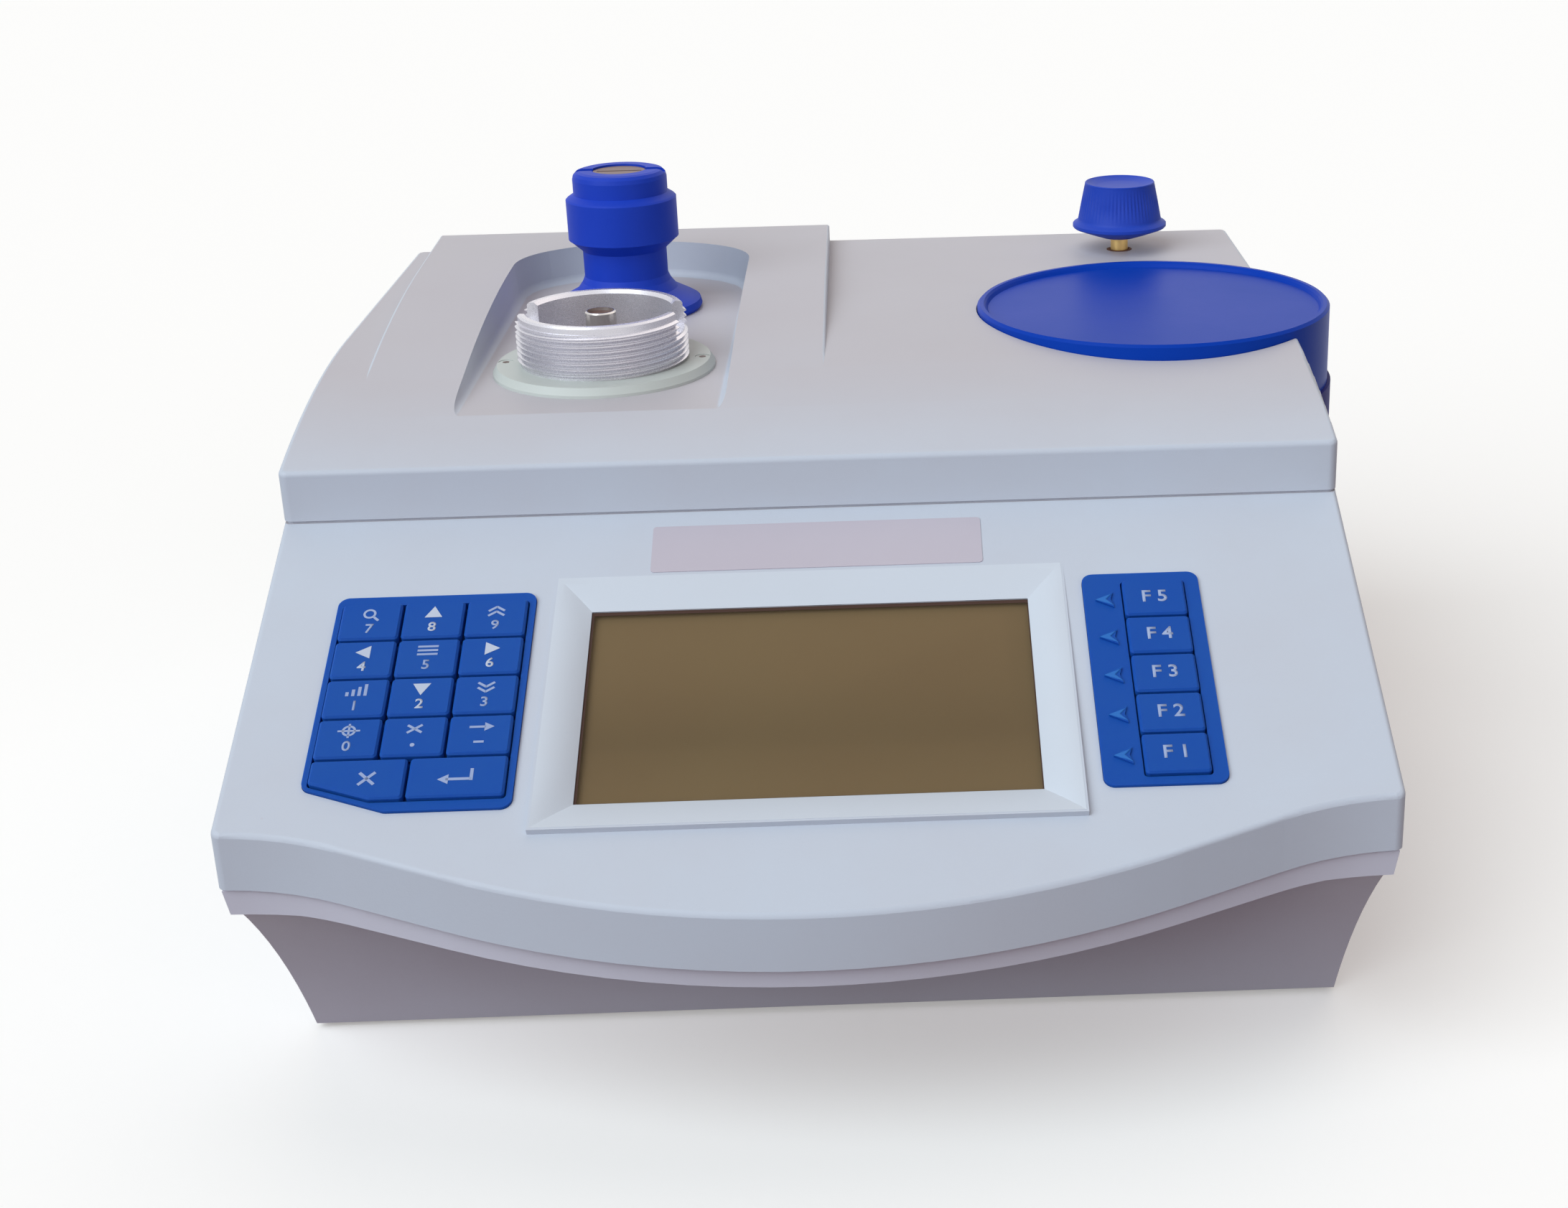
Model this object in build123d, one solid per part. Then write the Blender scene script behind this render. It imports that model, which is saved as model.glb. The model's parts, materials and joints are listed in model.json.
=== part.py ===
"""Automatic titrator: a bench instrument with a sloped control panel, a piston burette drive
and valve post in a scooped bay, and a magnetic stirrer pod with its beaker tray.

Millimetres, +Z up, the operator stands on the -Y side. While it is being drawn the model has
X = 0 on the housing's mid-plane, Y = 0 on the line through its two front corners and Z = 0 on
the bench. place() then moves every piece so that the origin is under the middle of the whole
instrument, on the bench.
"""

from build123d import *
from math import cos, radians, sin, sqrt, tan
import os

os.makedirs("parts", exist_ok=True)

# ---------------------------------------------------------------- housing
half_width = 170.0            # housing, mid-plane to side wall
body_depth = 369.0            # front corner line to rear wall
wall = 3.0                    # moulded wall
corner_radius = 3.0           # upright corners of the housing
big = 600.0                   # longer than the instrument, for cutting shapes
overrun = 40.0                # how far such a shape runs past the rear wall

# front edge in plan: corner arc, straight run, wide middle arc, mirrored
sweep_angle = 18.0            # slope of the straight run
run_outer = 134.0             # where the corner arc meets the straight run
run_inner = 104.0             # where the straight run meets the middle arc

panel_angle = 24.08           # slope of the control panel
panel_front_z = 95.6          # panel surface above the bench at Y = 0
upper_band = 17.6             # height of the front wall above the seam
flange_band = 9.0             # height of the base's own edge under the seam
flange_inset = 0.9            # the base's edge stands back from the upper wall
flange_draft = 8.0            # its edge leans in towards the bench, degrees
flange_bead = 0.8             # bevel along its upper edge
foot_height = 2.0             # rubber feet below the base

pedestal_front_top_y = 4.0    # front face of the pedestal under the flange
pedestal_front_foot_y = 51.0  # and at the bench
pedestal_sag = 4.6            # how far that face bows in from its chord
pedestal_top_inset = 3.5      # its sides stand in from the housing's under the flange
pedestal_foot_inset = 7.4     # and at the bench
pedestal_rear_inset = 4.0

# ---------------------------------------------------------------- rear cover
cover_front_y = 116.3         # front band of the cover
cover_bottom_z = 147.6
cover_shoulder_z = 165.2      # top of the front band
cover_top_z = 180.0           # level part of the roof
cover_crown_y = 225.0         # where the roof becomes level
shadow_gap = 0.8              # rebate along the cover's lower edge

block_top_z = 186.4           # raised block over the burette side
block_edge = 1.0
block_crown_y = 304.0         # where its roof becomes level
block_front_y = 146.0         # its roof starts here
block_sink = 0.15             # and this far under the cover's, so that it comes up through it
block_left_front = 17.3 - half_width
block_left_rear = 10.0 - half_width
block_right_front = 4.4
block_right_rear = 2.8

bay_x = -74.3                 # burette bay, ring and valve post share this line
bay_floor_z = 172.5
bay_front_y = 130.0           # the scoop runs out through the sloping roof
bay_half = 46.4               # half width at the block's top
bay_arch_y = 310.0            # straight walls end, the arch begins
bay_arch_depth = 36.0
bay_arch_corner = 30.0        # small radius each side of the arch
bay_draft = 5.0
bay_floor_fillet = 3.0
soft_edge = 1.8               # rounding of the mouldings' outer edges

# ---------------------------------------------------------------- display
display_x = -0.7
window_width = 135.3          # visible glass
window_height = 77.1
window_low_s = 8.9            # lower edge of the glass, up the slope from Y = 0
frame_half = 79.4             # outer half width of the raised frame
frame_low_s = -3.5
frame_high_s = 98.8
frame_rise = 2.0              # height of the frame's ridge at its lower edge
frame_ridge = 0.7             # width of the ridge
window_depth = 2.6            # glass below the panel surface
window_thickness = 1.6
window_lap = 2.0              # how far the glass runs behind the frame
seat_rim = 5.0                # moulded seat round the glass, inside the panel
lcd_thickness = 9.0

# ---------------------------------------------------------------- keys
pad_left = -146.4             # main keypad mat
pad_right = -85.3
pad_low_s = 5.9
pad_high_s = 91.9
pad_slant_x = -121.5          # the mat's lower edge rises from here to the left
pad_slant_s = 15.2            # and meets the left edge here
pad_corner = 3.5
key_width = 18.3
key_height = 14.9
key_pitch_x = 19.2
key_pitch_s = 15.8
key_first_x = -135.15         # centre of the left column
key_first_s = 17.1            # centre of the bottom row
key_rise = 2.4                # key top above the panel
key_corner = 1.2
key_chamfer = 0.6
key_travel = 1.2
key_stem = 4.6                # square stem under a key
key_running = 0.05            # clearance round the stem
key_bottom_gap = 0.2          # left under a key at the end of its travel
cancel_slant_x = -126.0       # lower edge of the wide left key rises from here
cancel_slant_s = 16.2         # and meets its left edge here
slant_stem_rise = 1.2         # its stems stand a little higher, clear of the slant
mat_rise = 1.0                # mat border above the panel
mat_floor_depth = 3.4         # underside of the mat's web
mat_floor = 1.4               # web thickness
mat_flange = 2.6              # how far the mat runs under the panel
mat_flange_thickness = 1.2
pad_clearance = 0.1
fpad_left = 83.9              # function pad
fpad_right = 120.1
fpad_low_s = 6.4
fpad_high_s = 92.1
fkey_width = 19.1
fkey_x = 105.65
dart_x = 90.2                 # pointers on the function pad
dart_length = 5.6
dart_height = 6.4
dart_notch = 0.9
dart_rise = 0.7
board_thickness = 1.6

# ---------------------------------------------------------------- burette drive
ring_y = 203.0
ring_outer = 30.0             # over the thread's crests
ring_inner = 25.2
ring_spigot = 28.9            # plain ends, at the thread's root: in the flange and at the top
ring_top_z = 194.5
ring_lead = 2.6               # plain end above the thread
ring_outer_edge = 0.7
ring_inner_edge = 1.2
ring_slot_width = 16.0
ring_slot_depth = 8.4
ring_slot_turn = -4.0         # degrees from the X axis
flange_radius = 39.0
flange_thickness = 3.4
flange_bevel = 1.6
flange_screw_radius = 34.6    # pitch radius of the two fixing screws
flange_screw_size = 1.5
rod_radius = 5.4
rod_bore = 4.6
rod_top_z = 193.4
rod_stroke = 50.0
rod_cap_radius = 4.7
rod_cap_depth = 2.4
screw_radius = 4.0
screw_lead = 8.0
screw_margin = 18.0           # screw left above the carriage at the end of its stroke
running = 0.05                # radial running clearance
motor_size = 42.3
motor_height = 40.0
motor_corner = 4.0
frame_plate = 5.0
frame_low_z = 56.0            # underside of the motor plate
frame_half_x = 30.0
frame_half_y = 26.0
guide_offset = 21.0
guide_radius = 3.0
carriage_z = 66.0
carriage_height = 16.0
bush_radius = 11.0
bush_length = 16.0

# ---------------------------------------------------------------- valve post
post_y = 290.0
post_base = 28.5
post_base_height = 4.6
post_stem = 16.0
post_stem_low_z = 184.0
post_stem_high_z = 196.4
post_collar = 21.0
post_collar_low_z = 200.8
post_collar_high_z = 216.4
post_cap = 17.9
post_cap_low_z = 218.0
post_top_z = 226.6
post_cap_edge = 3.0           # rounding of the cap's rim
post_notch = 4.2
post_notch_depth = 1.6
coupling_radius = 10.0
coupling_sink = 0.7           # coupling's face below the rim
coupling_thickness = 4.0
coupling_gap = 0.4            # round the coupling and under it
coupling_slot = 1.6
coupling_slot_depth = 1.6
spindle_radius = 3.0
valve_motor_radius = 18.5
valve_motor_height = 44.0

# ---------------------------------------------------------------- stirrer
tray_x = 124.0
tray_y = 240.0
tray_radius = 64.7
tray_rim_z = 182.2
tray_surface_z = 180.2
tray_rim = 3.2
pod_radius = 66.0
pod_split_z = 153.5
pod_floor_z = 108.0
pod_clearance = 0.4
stirrer_motor_radius = 19.0
stirrer_motor_height = 42.0
stirrer_shaft = 2.0
magnet_half = 24.0
magnet_width = 12.0
magnet_height = 7.0
magnet_gap = 2.4              # magnets below the tray's underside

# ---------------------------------------------------------------- speed knob
knob_x = 121.6
knob_y = body_depth - 33.0    # its centre from the rear wall
knob_shaft_radius = 3.5
knob_hole = 5.2
knob_low_z = 185.2
knob_dish_inner = 7.0
knob_dish_outer = 12.2
knob_dish_z = 187.0
knob_flange_radius = 18.9
knob_flange_low_z = 189.6
knob_flange_high_z = 191.2
knob_base_radius = 16.8
knob_base_z = 192.6
knob_top_radius = 14.0
knob_top_z = 207.6
knob_rim = 0.7                # width of its upper rim
knob_recess_radius = 9.4      # floor of the dished top
knob_recess_depth = 1.6
pot_radius = 12.0
pot_height = 13.0

# ---------------------------------------------------------------- rear panel
rear_plate_half = 118.0
rear_plate_low = 84.0
rear_plate_high = 140.0
rear_plate_thickness = 2.0
rear_lap = 4.0
inlet_x = -88.0
inlet_z = 111.0
switch_x = -42.0
socket_z = 112.0
socket_reach = 10.0           # sockets stand this far out of the rear panel


def to_y(z_offset):
    """Distance in Y for a height along the control panel's slope."""
    return z_offset / tan(radians(panel_angle))


# where the panel runs in under the cover
panel_top_y = to_y(cover_bottom_z - panel_front_z)
slope = tan(radians(panel_angle))
seam_z = panel_front_z - upper_band
flange_low_z = seam_z - flange_band

# corner arc, straight run and middle arc each go forward by their own share
arc_share = tan(radians(sweep_angle / 2))
run_outer_y = -(half_width - run_outer) * arc_share
run_inner_y = run_outer_y - (run_outer - run_inner) * tan(radians(sweep_angle))
front_reach = -(run_inner_y - run_inner * arc_share)

panel = Plane(
    origin=(0, 0, panel_front_z),
    x_dir=(1, 0, 0),
    z_dir=(0, -sin(radians(panel_angle)), cos(radians(panel_angle))),
)

# the origin goes under the middle of everything, sockets and stirrer pod included
centre_x = (tray_x + pod_radius - half_width) / 2
plate_back = body_depth - wall            # inner face of the socket plate
plate_face = plate_back + rear_plate_thickness
centre_y = (plate_face + socket_reach - front_reach) / 2


def place(shape):
    return Pos(-centre_x, -centre_y, 0) * shape


def span(x0, x1, y0, y1, z0, z1):
    """A block between two corners."""
    return Pos((x0 + x1) / 2, (y0 + y1) / 2, (z0 + z1) / 2) * Box(x1 - x0, y1 - y0, z1 - z0)


def disc(x, y, z0, z1, radius):
    return Pos(x, y, (z0 + z1) / 2) * Cylinder(radius, z1 - z0)


def side_prism(half, *lines):
    """A closed outline in the Y-Z plane, run across from -half to +half in X."""
    face = make_face([Plane.YZ * line for line in lines])
    return extrude(face, amount=half, both=True)


def turned(x, y, *points):
    """A solid of revolution about the upright line through x, y. Points are radius, height."""
    face = make_face(Plane.XZ * Polyline(*points, close=True))
    return Pos(x, y, 0) * revolve(face, Axis.Z)


def on_panel(x, s, h, shape):
    """Puts a shape on the control panel: x across, s up the slope, h out of the surface."""
    return panel * Pos(x, s, h) * shape


def panel_prism(outline, low, high):
    """An outline drawn on the panel, from depth low to height high."""
    return extrude(panel.offset(low) * outline, amount=high - low)


# ================================================================ housing shells
def plan_face(inset=0.0):
    """Plan of the housing: two S-shaped sweeps join the corners to the bulging middle."""
    left = (-half_width, 0)
    left_run = (-run_outer, run_outer_y)
    left_arc = (-run_inner, run_inner_y)
    nose = (0, -front_reach)
    right_arc = (run_inner, run_inner_y)
    right_run = (run_outer, run_outer_y)
    right = (half_width, 0)
    outline = [
        TangentArc(left, left_run, tangent=(1, 0)),
        Line(left_run, left_arc),
        ThreePointArc(left_arc, nose, right_arc),
        Line(right_arc, right_run),
        TangentArc(right, right_run, tangent=(-1, 0)),
        Polyline(right, (half_width, body_depth), (-half_width, body_depth), left),
    ]
    face = make_face(outline)
    return offset(face, amount=-inset, kind=Kind.INTERSECTION) if inset else face


def plan_prism(inset, low, high, radius):
    """The plan run upright, with its four upright corners rounded."""
    block = extrude(Pos(0, 0, low) * plan_face(inset), amount=high - low)
    rear = block.edges().filter_by(Axis.Z).group_by(Axis.Y)[-1]
    front = [e for e in block.edges().filter_by(Axis.Z) if abs(e.center().X) > run_outer + 10
             and e.center().Y < 20]
    return fillet(list(rear) + front, radius)


def parallel_band(low, high):
    """Everything between two surfaces that follow the panel forward of Y = 0 and run
    level behind it."""
    reach = -front_reach - 20
    return side_prism(
        big / 2,
        Polyline(
            (reach, low + reach * slope), (0, low), (body_depth + 20, low),
            (body_depth + 20, high), (0, high), (reach, high + reach * slope), close=True,
        ),
    )


def panel_section(drop, low, high):
    """Under the panel surface (lowered by drop), between the seam and the cover."""
    fall = drop / cos(radians(panel_angle))
    reach = -front_reach - 20
    start = panel_front_z - fall
    meet = to_y(high - start)
    return side_prism(
        big / 2,
        Polyline(
            (reach, low + reach * slope), (0, low), (body_depth + 20, low),
            (body_depth + 20, high), (meet, high), (reach, start + reach * slope), close=True,
        ),
    )


def pedestal(inset=0.0, floor=None):
    """The plinth under the flange: its front bows inward, its sides lean in to the bench."""
    low = foot_height if floor is None else floor
    top = seam_z - 1
    foot = (pedestal_front_foot_y + inset, foot_height)
    head = (pedestal_front_top_y + inset, flange_low_z + 1)
    middle = ((foot[0] + head[0]) / 2 + pedestal_sag, (foot[1] + head[1]) / 2)
    rear = body_depth - pedestal_rear_inset - inset
    block = side_prism(
        half_width - pedestal_top_inset - inset,
        ThreePointArc(head, middle, foot),
        Polyline(foot, (rear, foot_height), (rear, top), (head[0], top), head),
    )
    half_low = half_width - pedestal_foot_inset - inset
    half_top = half_width - pedestal_top_inset - inset
    lean = extrude(
        make_face(Plane.XZ * Polyline((-half_low, foot_height), (half_low, foot_height),
                                      (half_top, flange_low_z), (half_top, top),
                                      (-half_top, top), (-half_top, flange_low_z), close=True)),
        amount=-big,
    )
    block = block & lean
    return block if floor is None else block & span(-big, big, -big, big, low, big)


screw_side_inset = 40.0       # base screws from the side walls
screw_front_y = 90.0
screw_rear_inset = 34.0
foot_side_inset = 30.0
foot_front_y = 72.0
foot_rear_inset = 24.0
board_left = -4.0             # the board's pillars
board_front_y = 96.0
board_span_x = 114.0
board_span_y = 100.0
base_screw_spots = [(x, y) for x in (screw_side_inset - half_width, half_width - screw_side_inset)
                    for y in (screw_front_y, body_depth - screw_rear_inset)]
board_spots = [(x, y) for x in (board_left, board_left + board_span_x)
               for y in (board_front_y, board_front_y + board_span_y)]
foot_spots = [(x, y) for x in (foot_side_inset - half_width, half_width - foot_side_inset)
              for y in (foot_front_y, body_depth - foot_rear_inset)]
screw_hole = 1.7
screw_head = 3.6
boss_radius = 4.0
boss_top_z = 74.0
board_stand = 12.0
supply_spot = (20.0, 250.0)
foot_radius = 10.0
foot_seat = 1.2
base_floor = 3.0


def base_shell():
    """Plinth and flange in one moulding, open at the seam, with screw pillars inside."""
    edge = extrude(Pos(0, 0, seam_z) * plan_face(flange_inset), amount=-seam_z,
                   taper=flange_draft) & parallel_band(flange_low_z, seam_z)
    rim = [e for e in edge.edges() if abs(e.tangent_at(0.5).Z) < 0.5
           and e.center().Z > seam_z - 1 + min(e.center().Y, 0) * slope]
    shell = chamfer(rim, flange_bead) + pedestal()
    hollow_edge = extrude(Pos(0, 0, seam_z + 1) * plan_face(flange_inset + wall),
                          amount=-seam_z, taper=flange_draft)
    shell -= hollow_edge & parallel_band(flange_low_z + wall, seam_z + 1)
    shell -= pedestal(wall, foot_height + base_floor)
    floor_z = foot_height + base_floor
    for x, y in base_screw_spots:
        shell += disc(x, y, floor_z, boss_top_z, boss_radius)
        shell -= disc(x, y, 0, boss_top_z, screw_hole)
        shell -= disc(x, y, 0, foot_height + base_floor - 1, screw_head)
    for x, y in board_spots:
        shell += disc(x, y, floor_z, board_stand, boss_radius)
    for x, y in foot_spots:
        shell -= disc(x, y, 0, foot_height + foot_seat, foot_radius)
    return shell


def rubber_feet():
    return Compound([disc(x, y, 0, foot_height + foot_seat, foot_radius) for x, y in foot_spots])


def base_screws():
    """Long screws that come up through the pillars and pull the upper housing down."""
    head_z = foot_height + base_floor - 1
    return Compound([
        disc(x, y, head_z - 2.2, head_z, screw_head - 0.3) + disc(x, y, head_z, boss_top_z + 8,
                                                                   screw_hole)
        for x, y in base_screw_spots
    ])


# ---------------------------------------------------------------- control housing
def pad_outline(grow=0.0):
    """Main keypad mat: an upright rectangle whose lower left corner is cut on a slant."""
    left, right = pad_left - grow, pad_right + grow
    low, high = pad_low_s - grow, pad_high_s + grow
    shape = make_face(Polyline((pad_slant_x, low), (right, low), (right, high), (left, high),
                               (left, pad_slant_s - grow), close=True))
    return fillet(shape.vertices(), pad_corner)


def fpad_outline(grow=0.0):
    width = fpad_right - fpad_left + 2 * grow
    height = fpad_high_s - fpad_low_s + 2 * grow
    middle = ((fpad_left + fpad_right) / 2, (fpad_low_s + fpad_high_s) / 2)
    return Pos(*middle) * RectangleRounded(width, height, pad_corner)


window_mid_s = window_low_s + window_height / 2


def frame_wedge():
    """Raised border round the display: flush with the panel above, proud of it below."""
    face = make_face(Polyline((frame_low_s, -1), (frame_high_s, -1), (frame_high_s, 0),
                              (frame_low_s, frame_rise), close=True))
    section = Plane(origin=panel.origin, x_dir=panel.y_dir, z_dir=panel.x_dir)
    return Pos(display_x, 0, 0) * extrude(section * face, amount=frame_half, both=True)


def frame_recess():
    """The border's four faces fall from the ridge to the glass."""
    tilt = frame_rise / (frame_high_s - frame_low_s)
    half = frame_half - frame_ridge
    low, high = frame_low_s + frame_ridge, frame_high_s - 0.05
    over = 6.0                   # the recess is carried on above the ridge

    def ridge_height(s):
        return (frame_high_s - s) * tilt

    def ring(half_x, s0, s1, h0, h1):
        return [(display_x - half_x, s0, h0), (display_x + half_x, s0, h0),
                (display_x + half_x, s1, h1), (display_x - half_x, s1, h1)]

    glass = ring(window_width / 2, window_low_s, window_low_s + window_height,
                 -window_depth, -window_depth)
    ridge = ring(half, low, high, ridge_height(low), ridge_height(high))
    sky = ring(half, low, high, ridge_height(low) + over, ridge_height(high) + over)

    def quad(*corners):
        return Face(Wire.make_polygon([Vector(*c) for c in corners], close=True))

    def walls(lower, upper):
        faces = []
        for i in range(4):
            j = (i + 1) % 4
            faces.append(quad(lower[i], lower[j], upper[j]))
            faces.append(quad(lower[i], upper[j], upper[i]))
        return faces

    skin = [quad(*glass)] + walls(glass, ridge) + walls(ridge, sky) + [quad(*sky)]
    return panel * Solid(Shell(skin))


def panel_rim(solid):
    """The control panel's own edges, without the one under the cover."""
    face = [f for f in solid.faces() if f.normal_at().dot(panel.z_dir) > 0.999][0]
    return [e for e in face.edges() if e.center().Y < panel_top_y - 1]


def control_housing():
    """Upper housing: the S-fronted control panel with its display frame and pad openings,
    the side walls and the rear wall that carries the socket plate."""
    shell = plan_prism(0, 0, cover_bottom_z + 10, corner_radius)
    shell &= panel_section(0, seam_z, cover_bottom_z)
    shell = fillet(panel_rim(shell), soft_edge)
    hollow = plan_prism(wall, -10, cover_bottom_z + 20, corner_radius)
    hollow &= panel_section(wall, seam_z - 10, cover_bottom_z + 5)
    shell -= hollow
    # display: raised border, moulded seat behind it, opening and glass pocket
    half_seat = window_width / 2 + window_lap + seat_rim
    shell += frame_wedge()
    shell += on_panel(display_x, window_mid_s, 0, extrude(
        Pos(0, 0, -window_depth - window_thickness) * Rectangle(
            2 * half_seat, window_height + 2 * (window_lap + seat_rim)),
        amount=window_depth + window_thickness - 0.5))
    shell -= frame_recess()
    shell -= on_panel(display_x, window_mid_s, 0, Box(window_width, window_height, 20))
    shell -= on_panel(display_x, window_mid_s, -window_depth - 10 - 0.4, Box(
        window_width + 2 * window_lap, window_height + 2 * window_lap, 20))
    # key pads
    shell -= panel_prism(pad_outline(pad_clearance), -10, 5)
    shell -= panel_prism(fpad_outline(pad_clearance), -10, 5)
    # stirrer pod stands half outside the right wall
    shell -= disc(tray_x, tray_y, pod_floor_z - 0.1, cover_bottom_z + 1, pod_radius + 0.1)
    # socket plate in the rear wall
    shell -= span(-rear_plate_half, rear_plate_half, body_depth - wall - 5, body_depth + 5,
                  rear_plate_low, rear_plate_high)
    # pillars that take the base screws
    for x, y in base_screw_spots:
        side = half_width - wall
        foot = span(min(x, side * x / abs(x)), max(x, side * x / abs(x)), y - 1.5, y + 1.5,
                    seam_z + 0.5, boss_top_z + 14)
        shell += disc(x, y, boss_top_z, boss_top_z + 14, boss_radius) + foot
        shell -= disc(x, y, boss_top_z - 1, boss_top_z + 8, screw_hole)
    return shell


def display_window():
    return on_panel(display_x, window_mid_s, -window_depth - 0.4 - window_thickness / 2, Box(
        window_width + 2 * window_lap - 0.2, window_height + 2 * window_lap - 0.2,
        window_thickness))


def lcd_module():
    """Bezelled display module on its own circuit board, pressed against the glass."""
    top = -window_depth - 0.4 - window_thickness
    can = Box(window_width + 2 * window_lap - 1, window_height + 2 * window_lap - 1,
              lcd_thickness)
    card = Pos(0, 0, -lcd_thickness / 2 - board_thickness / 2) * Box(
        window_width + 12, window_height + 14, board_thickness)
    return on_panel(display_x, window_mid_s, top - lcd_thickness / 2, can + card)


# ---------------------------------------------------------------- keys and mats
def key_row(row):
    return key_first_s + row * key_pitch_s


def key_column(column):
    return key_first_x + column * key_pitch_x


wide_left = key_column(0) - key_width / 2
wide_right = key_column(2) + key_width / 2
wide_gap = key_pitch_x - key_width
wide_split = -116.1           # middle of the gap between the two wide keys


def key_blank(outline, stems):
    """Key cap on its stem. The cap's underside stays clear of the mat's web by the travel."""
    underside = -(mat_floor_depth - mat_floor) + key_travel + key_bottom_gap
    cap = extrude(Pos(0, 0, underside) * outline, amount=key_rise - underside)
    cap = chamfer(cap.faces().sort_by(Axis.Z)[-1].edges(), key_chamfer)
    low = -(wall + mat_flange_thickness) + key_travel + key_bottom_gap
    for x, s in stems:
        cap += Pos(x, s, low) * extrude(Rectangle(key_stem, key_stem), amount=underside - low)
    return panel * cap


def plain_key(x, s, width):
    outline = Pos(x, s) * RectangleRounded(width, key_height, key_corner)
    return key_blank(outline, [(x, s)])


def wide_key_outline(left):
    row = key_row(0)
    low, high = row - key_height / 2, row + key_height / 2
    if left:
        shape = make_face(Polyline(
            (cancel_slant_x, low), (wide_split - wide_gap / 2, low),
            (wide_split - wide_gap / 2, high), (wide_left, high),
            (wide_left, cancel_slant_s), close=True))
    else:
        shape = make_face(Polyline(
            (wide_split + wide_gap / 2, low), (wide_right, low), (wide_right, high),
            (wide_split + wide_gap / 2, high), close=True))
    return fillet(shape.vertices(), key_corner)


def wide_stems(left):
    """A wide key has two stems, a quarter of its width from each end."""
    ends = (wide_left, wide_split) if left else (wide_split, wide_right)
    quarter = (ends[1] - ends[0]) / 4
    s = key_row(0) + (slant_stem_rise if left else 0)
    return [(ends[0] + quarter, s), (ends[1] - quarter, s)]


def wide_key(left):
    return key_blank(wide_key_outline(left), wide_stems(left))


key_names = {
    (0, 1): "key_0", (1, 1): "key_point", (2, 1): "key_minus",
    (0, 2): "key_1", (1, 2): "key_2", (2, 2): "key_3",
    (0, 3): "key_4", (1, 3): "key_5", (2, 3): "key_6",
    (0, 4): "key_7", (1, 4): "key_8", (2, 4): "key_9",
}


def mat(outline, grown, well, stems):
    """Moulded mat: border proud of the panel, a well for the keys, a web with stem holes
    and a flange that traps it under the panel."""
    top_of_flange = -wall
    body = panel_prism(outline, -mat_floor_depth, mat_rise)
    body = body + panel_prism(grown, top_of_flange - mat_flange_thickness, top_of_flange)
    body -= panel_prism(well, -(mat_floor_depth - mat_floor), mat_rise + 1)
    side = key_stem + 2 * key_running
    hole = extrude(Rectangle(side, side), amount=20, both=True)
    for x, s in stems:
        body -= on_panel(x, s, 0, hole)
    return body


def key_centres():
    return [(key_column(c), key_row(r)) for c, r in key_names]


def keypad_mat():
    gap = (key_pitch_x - key_width) / 2
    left, right = wide_left - gap, wide_right + gap
    low = key_row(0) - key_height / 2 - gap
    high = key_row(4) + key_height / 2 + gap
    well = make_face(Polyline((cancel_slant_x, low), (right, low), (right, high), (left, high),
                              (left, cancel_slant_s - gap), close=True))
    well = fillet(well.vertices(), key_corner)
    stems = key_centres() + wide_stems(True) + wide_stems(False)
    return mat(pad_outline(), pad_outline(mat_flange), well, stems)


def function_pad():
    gap = (key_pitch_x - key_width) / 2
    height = 4 * key_pitch_s + key_height + 2 * gap
    well = Pos(fkey_x, key_row(2)) * RectangleRounded(fkey_width + 2 * gap, height, key_corner)
    pad = mat(fpad_outline(), fpad_outline(mat_flange), well,
              [(fkey_x, key_row(r)) for r in range(5)])
    for row in range(5):
        s = key_row(row)
        dart = make_face(Polyline(
            (dart_x - dart_length / 2, s), (dart_x + dart_length / 2, s - dart_height / 2),
            (dart_x + dart_length / 2 - dart_notch, s),
            (dart_x + dart_length / 2, s + dart_height / 2), close=True))
        pad += panel_prism(dart, mat_rise - 0.2, mat_rise + dart_rise)
    return pad


def key_board(outline):
    """Contact board screwed under a mat."""
    top = -wall - mat_flange_thickness
    return panel_prism(outline, top - board_thickness, top)


# ================================================================ rear cover
def roof_arc(top_z, crown_y, start_y, start_z, sink=0.0):
    """An arc that climbs from start and is level at crown_y. Returns its height at any y."""
    run = crown_y - start_y
    rise = top_z - start_z
    radius = (run * run + rise * rise) / (2 * rise)

    def height(y):
        if y >= crown_y:
            return top_z - sink
        return top_z - radius + sqrt((radius - sink) ** 2 - (crown_y - y) ** 2)

    return height


def roof_prism(half, height, crown_y, start_y, low_z):
    """Everything under a roof arc, from start_y to past the rear wall."""
    middle = (start_y + crown_y) / 2
    front = (start_y, height(start_y))
    crown = (crown_y, height(crown_y))
    rear_y = body_depth + overrun
    return side_prism(
        half,
        ThreePointArc(front, (middle, height(middle)), crown),
        Polyline(crown, (rear_y, crown[1]), (rear_y, low_z), (start_y, low_z), front),
    )


roof_start = (cover_front_y + soft_edge, cover_shoulder_z)
roof = roof_arc(cover_top_z, cover_crown_y, *roof_start)
roof_inside = roof_arc(cover_top_z, cover_crown_y, *roof_start, wall)

block_start = (block_front_y, roof(block_front_y) - block_sink)
block_roof = roof_arc(block_top_z, block_crown_y, *block_start)
block_inside = roof_arc(block_top_z, block_crown_y, *block_start, wall)


def cover_plan(inset=0.0):
    half = half_width - inset
    front, rear = cover_front_y + inset, body_depth - inset
    return Pos(0, (front + rear) / 2) * RectangleRounded(
        2 * half, rear - front, max(corner_radius - inset, 0.5))


def block_plan(inset=0.0):
    """Raised block, a little wider at the rear."""
    rear = body_depth - inset
    front = block_front_y
    return make_face(Polyline(
        (block_left_front + inset, front), (block_right_front - inset, front),
        (block_right_rear - inset, rear), (block_left_rear + inset, rear), close=True))


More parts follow.
